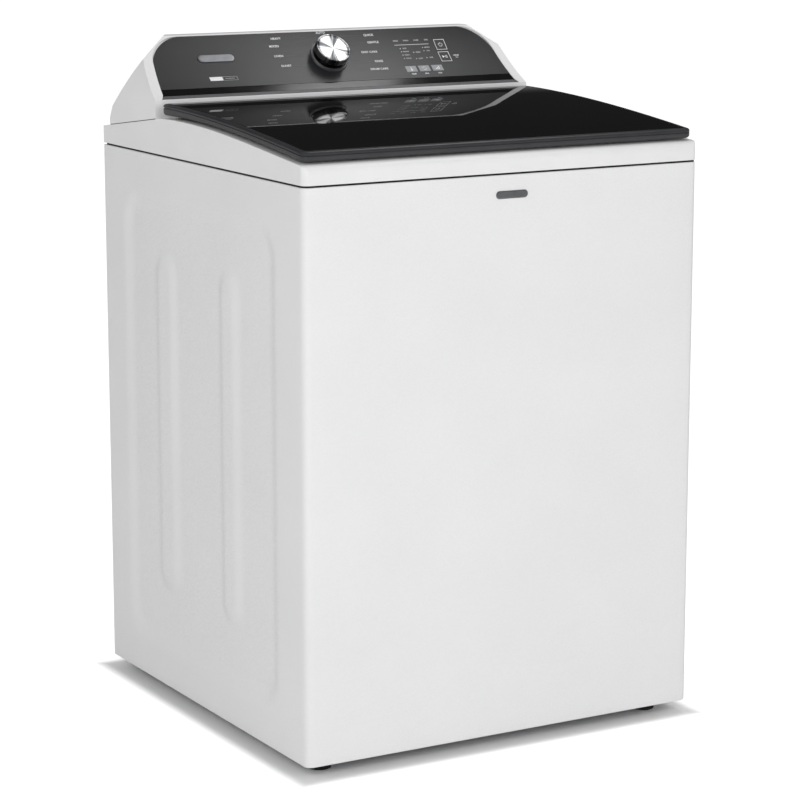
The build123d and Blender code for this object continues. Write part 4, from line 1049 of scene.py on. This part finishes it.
def stampOnPoints(piece, name, sizes, finish, design, mergeWithin=0.0):
    # `design` adds the nodes that lead up to the stamping and gives back what the stamping takes
    tree = bpy.data.node_groups.new(name, "GeometryNodeTree")
    tree.interface.new_socket("Geometry", in_out="INPUT", socket_type="NodeSocketGeometry")
    values = {}
    for title, (kind, value) in {**sizes, "Material": ("Material", finishes[finish])}.items():
        socket = tree.interface.new_socket(title, in_out="INPUT", socket_type="NodeSocket" + kind)
        values[socket.identifier] = value
    tree.interface.new_socket("Geometry", in_out="OUTPUT", socket_type="NodeSocketGeometry")
    given = addNode(tree, "NodeGroupInput").outputs
    stamped = firstOut(tree, "GeometryNodeInstanceOnPoints", design(tree, given))
    shape = firstOut(tree, "GeometryNodeRealizeInstances", {0: stamped})
    if mergeWithin:
        shape = firstOut(tree, "GeometryNodeMergeByDistance", {0: shape, "Distance": mergeWithin})
    coloured = firstOut(tree, "GeometryNodeSetMaterial", {0: shape, "Material": given["Material"]})
    addNode(tree, "NodeGroupOutput", {0: coloured})
    modifier = piece.modifiers.new(name, "NODES")
    modifier.node_group = tree
    for identifier, value in values.items():
        modifier[identifier] = value


def pointCloud(name, spots):
    mesh = bpy.data.meshes.new(name)
    mesh.from_pydata(spots, [], [])
    return placeObject(name, mesh)


# wash basket, plate and post

basketShape = {"columns": 84, "rows": 26, "hole": 2.6, "wall": 1.2, "bend": 14.0, "panHole": 30.0,
               "balanceInner": 240.0, "mergeWithin": 0.00006}


def roundTheDrum(tree, given):
    # one point for each tile, row upon row round the drum
    columns = given["Columns"]
    line = firstOut(tree, "GeometryNodeMeshLine", {"Count": maths(tree, "MULTIPLY", columns, given["Rows"])})
    index = firstOut(tree, "GeometryNodeInputIndex")
    share = maths(tree, "DIVIDE", maths(tree, "MODULO", index, columns), columns)
    row = maths(tree, "FLOOR", maths(tree, "DIVIDE", index, columns))
    height = maths(tree, "MULTIPLY_ADD", row, given["Tile Height"], given["Base"])
    around = firstOut(tree, "ShaderNodeCombineXYZ", {"Z": maths(tree, "MULTIPLY", share, 2 * pi)})
    across = firstOut(tree, "ShaderNodeCombineXYZ", {"X": given["Radius"]})
    spin = firstOut(tree, "ShaderNodeVectorRotate", {"Vector": across, "Rotation": around},
                    rotation_type="EULER_XYZ")
    shift = firstOut(tree, "ShaderNodeCombineXYZ", {"Y": given["Centre"], "Z": height})
    spot = maths(tree, "ADD", spin, shift, kind="ShaderNodeVectorMath")
    placed = firstOut(tree, "GeometryNodeSetPosition", {"Geometry": line, "Position": spot})
    return {"Points": placed, "Instance": given[0], "Rotation": around}


def buildBasket():
    s = basketShape
    radius = (basketHigh.x - basketLow.x) / 2
    low, high = basketLow.z + 30 * mm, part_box("balance_ring")[0].z
    tileH = (high - low) / s["rows"]
    tile = holedTile(2 * pi / s["columns"] * radius, tileH, s["hole"] * mm)
    sizes = {"Columns": ("Int", s["columns"]), "Rows": ("Int", s["rows"]), "Radius": ("Float", radius),
             "Tile Height": ("Float", tileH), "Base": ("Float", low), "Centre": ("Float", drumY)}
    stampOnPoints(tile, "perforatedWall", sizes, "stainless", roundTheDrum, s["mergeWithin"])
    thicken(tile, s["wall"], 0.0)
    bakeModifiers(tile)
    smoothShade(tile.data, 40)
    r, w, bend = radius / mm, s["wall"], s["bend"]
    base, foot = low / mm, basketLow.z / mm
    eighths = [k * pi / 8 for k in range(5)]
    pan = [(s["panHole"], foot), (r - bend, foot)]
    pan += [(r - bend + bend * sin(a), foot + bend * (1 - cos(a))) for a in eighths[1:]]
    pan += [(r, base), (r - w, base)]
    pan += [(r - w - (bend - w) * (1 - cos(a)), foot + bend - (bend - w) * sin(a)) for a in eighths]
    pan += [(s["panHole"], foot + w)]
    floor = lathe("pan", pan, 120, drumPlace, closed=True)
    floor.data.materials.append(finishes["stainless"])
    settle(joined("wash_basket_perforated", [tile, floor]), "basket", "stainless", ["wash_basket"])
    ringLow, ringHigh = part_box("balance_ring")
    inner, outer = s["balanceInner"], (ringHigh.x - ringLow.x) / 2 / mm
    z0, z1 = ringLow.z / mm, ringHigh.z / mm
    profile = [(inner, z0), (outer, z0), (outer, z1 - 9), (outer - 2.6, z1 - 2.6), (outer - 9, z1),
               (inner + 12, z1), (inner + 4, z1 - 3.4), (inner, z1 - 12), (inner + 1.6, z1 - 22),
               (inner + 1.6, z0 + 8)]
    balance = lathe("balance_ring_moulded", profile, 144, drumPlace, closed=True, smoothAngle=30)
    settle(balance, "basket", "tub_plastic", ["balance_ring"])


def holedTile(width, height, hole):
    # a small square of sheet with one round hole, standing in the YZ plane and facing +X
    square, circle = [], []
    for k in range(12):
        turn = 2 * pi * (k + 0.5) / 12
        c, s = cos(turn), sin(turn)
        reach = 1 / max(abs(c), abs(s))
        square.append((0, c * reach * width / 2, height / 2 + s * reach * height / 2))
        circle.append((0, c * hole, height / 2 + s * hole))
    points = square + circle
    return meshObject("tile", points, [(k, (k + 1) % 12, 12 + (k + 1) % 12, 12 + k) for k in range(12)])


postShape = {"vanes": 4, "twist": 150.0, "vaneReach": 74.0, "vaneThick": 5.0}


def buildPost():
    foot, top = postLow.z / mm, postHigh.z / mm
    profile = [(86, foot), (94, foot)] + [(94 - 50 * (k / 8) ** 0.72, foot + 96 * (k / 8)) for k in range(1, 9)]
    profile += [(38.5, foot + 108), (38, foot + 130), (38, top - 58), (41, top - 50), (44, top - 46), (44, top),
                (35, top), (35, top - 12), (34, foot + 96), (40, foot + 90), (84, foot + 3)]
    body = lathe("column", profile, 72, drumPlace, closed=True)
    vanes = []
    steps = 34
    for k in range(postShape["vanes"]):
        points = []
        for j in range(steps + 1):
            f = j / steps
            z = foot + 22 + (top - 96 - foot) * f
            turn = radians(360 / postShape["vanes"] * k + postShape["twist"] * f)
            reach = 44 + (postShape["vaneReach"] - 44) * sin(pi * min(max(f, 0.02), 0.98)) ** 0.6
            if f < 0.28:
                reach = max(reach, 90 - 120 * f)
            for r, side in ((34, -1), (reach - 2, -0.8), (reach, 0), (reach - 2, 0.8), (34, 1)):
                half = postShape["vaneThick"] / 2 * side
                x, y = r * cos(turn) - half * sin(turn), r * sin(turn) + half * cos(turn)
                points.append((x * mm, drumY + y * mm, z * mm))
        vanes.append(meshObject("vane", points, cappedFaces(steps + 1, 5), 50))
    piece = joined("agitator_post_moulded", [body] + vanes)
    settle(piece, "agitator", "grey_plastic", ["agitator_post"])
    finishNode("softener_cap", 1.0, 3)
    finishNode("wash_plate", 1.2, 3)


# screws

screwHead = {"radius": 4.5, "height": 2.0, "cross": 3.1, "slot": 0.9, "depth": 1.3, "seat": 2.2}


def crossHead():
    # a pan head with a cross recess
    r, h = screwHead["radius"], screwHead["height"]
    profile = [(r, 0), (r, h * 0.45), (r * 0.93, h * 0.75), (r * 0.78, h * 0.95), (r * 0.6, h), (0, h)]
    head = lathe("head", profile, 24, Matrix.Identity(4))
    long, wide = screwHead["cross"] * mm, screwHead["slot"] / 2 * mm
    floor, above = (h - screwHead["depth"]) * mm, (h + 1) * mm
    cutters = []
    for x, y in ((long, wide), (wide, long)):
        cutters.append(block("cross", (-x, -y, floor), (x, y, above)))
    return cutHoles(head, cutters)


def turnedHeads(tree, given):
    head = addNode(tree, "GeometryNodeObjectInfo", {"Object": given["Head"]}).outputs["Geometry"]
    way = firstOut(tree, "GeometryNodeInputNamedAttribute", {"Name": "facing"}, data_type="FLOAT_VECTOR")
    aim = firstOut(tree, "FunctionNodeAlignRotationToVector", {"Vector": way}, axis="Z")
    loose = addNode(tree, "FunctionNodeRandomValue", {"Seed": 7, 3: given["Turn Spread"]}, data_type="FLOAT")
    twist = firstOut(tree, "ShaderNodeCombineXYZ", {"Z": loose.outputs[1]})
    turned = firstOut(tree, "FunctionNodeRotateRotation", {0: aim, 1: twist}, rotation_space="LOCAL")
    return {"Points": given[0], "Instance": head, "Rotation": turned}


def islandsOf(mesh):
    # the corners of each separate shell in a mesh
    edit = bmesh.new()
    edit.from_mesh(mesh)
    bmesh.ops.remove_doubles(edit, verts=edit.verts, dist=0.00001)
    islands, seen = [], set()
    for first in edit.verts:
        if first in seen:
            continue
        island, queue = [], [first]
        seen.add(first)
        while queue:
            vertex = queue.pop()
            island.append(vertex.co.copy())
            fresh = {edge.other_vert(vertex) for edge in vertex.link_edges} - seen
            seen |= fresh
            queue += fresh
        islands.append(island)
    edit.free()
    return islands


def buildScrews():
    # one vertex for each screw, with the way it faces as an attribute
    coverLow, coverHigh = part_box("console_rear_cover")
    lean = coverHigh - coverLow
    tilt = Vector((0, lean.z, lean.y)).normalized()
    points, facing = [], []
    for island in islandsOf(frame["nodes"]["screws"].data):
        centre = sum(island, Vector()) / len(island)
        way = tilt if centre.z > deckZ else Vector((0, 1, 0))
        reach = max(p.dot(way) for p in island)
        points.append(centre + way * (reach - centre.dot(way) - screwHead["seat"] * mm))
        facing.append(way)
    heads = pointCloud("screw_heads", points)
    attribute = heads.data.attributes.new("facing", "FLOAT_VECTOR", "POINT")
    for k, way in enumerate(facing):
        attribute.data[k].vector = way
    head = crossHead()
    stampOnPoints(heads, "screwsOnPoints", {"Head": ("Object", head), "Turn Spread": ("Float", 6.28)}, "zinc",
                  turnedHeads)
    bakeModifiers(heads)
    bpy.data.objects.remove(head)
    settle(heads, "cabinet", "zinc", ["screws"])


# springs and hoses

springShape = {"turns": 6.0, "radius": 14.0, "wire": 2.0, "steps": 20, "sides": 8}


def coiledWire(tree, given):
    coil = firstOut(tree, "GeometryNodeCurveSpiral",
                    {"Resolution": springShape["steps"], "Rotations": given["Turns"], "Height": given["Height"],
                     "Start Radius": given["Coil Radius"], "End Radius": given["Coil Radius"]})
    section = firstOut(tree, "GeometryNodeCurvePrimitiveCircle",
                       {"Resolution": springShape["sides"], "Radius": given["Wire Radius"]})
    wire = firstOut(tree, "GeometryNodeCurveToMesh", {0: coil, 1: section, "Fill Caps": True})
    return {"Points": given[0], "Instance": wire}


def buildSprings():
    low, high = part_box("suspension_springs")
    rodsLow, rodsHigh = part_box("suspension_rods")
    s = springShape
    middle = (rodsLow + rodsHigh) / 2
    reach = (rodsHigh - rodsLow) / 2 - Vector((20, 20, 0)) * mm
    spots = [(middle.x + sx * reach.x, middle.y + sy * reach.y, low.z + s["wire"] * mm)
             for sx in (-1, 1) for sy in (-1, 1)]
    coils = pointCloud("suspension_coils", spots)
    sizes = {"Turns": ("Float", s["turns"]), "Coil Radius": ("Float", s["radius"] * mm),
             "Wire Radius": ("Float", s["wire"] * mm), "Height": ("Float", high.z - low.z - 2 * s["wire"] * mm)}
    stampOnPoints(coils, "coilSprings", sizes, "zinc", coiledWire)
    bakeModifiers(coils)
    coils.data.polygons.foreach_set("use_smooth", [True] * len(coils.data.polygons))
    settle(coils, "cabinet", "zinc", ["suspension_springs"])
    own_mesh(coils)


def buildDrainHose():
    piece = softCopy("drain_hose", 0.1, 1, name="drain_hose_moulded")
    piece.data.materials.append(finishes["black_rubber"])
    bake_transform(piece)
    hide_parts("drain_hose")
    finished.add("drain_hose")


# everything else that the frame holds

edgeWidths = {"rear_panel": 0.6, "base_frame": 0.5, "outer_tub": 0.8, "tub_ring": 1.2, "gearcase": 1.2,
              "motor_housing": 1.0, "drive_pulley": 0.6, "basket_hub": 0.8}
edgeWidths.update({node: 0.4 for node in frame["nodes"] if node.startswith(("foot_front", "foot_rear"))})


def buildRest():
    for node in sorted(frame["nodes"]):
        if node not in finished:
            finishNode(node, edgeWidths.get(node, 0.3))


finishes = makeFinishes()
buildStudio()
print("studio ready")
buildCabinet()
print("cabinet ready")
buildDeck()
buildConsole()
print("deck and console ready")
buildMarks()
buildBadges()
buildKnob()
print("console marks, badges and knob ready")
buildLid()
print("lid ready")
buildBasket()
buildPost()
print("basket and post ready")
buildScrews()
buildSprings()
buildDrainHose()
print("screws, springs and hose ready")
buildRest()
print("all nodes finished")
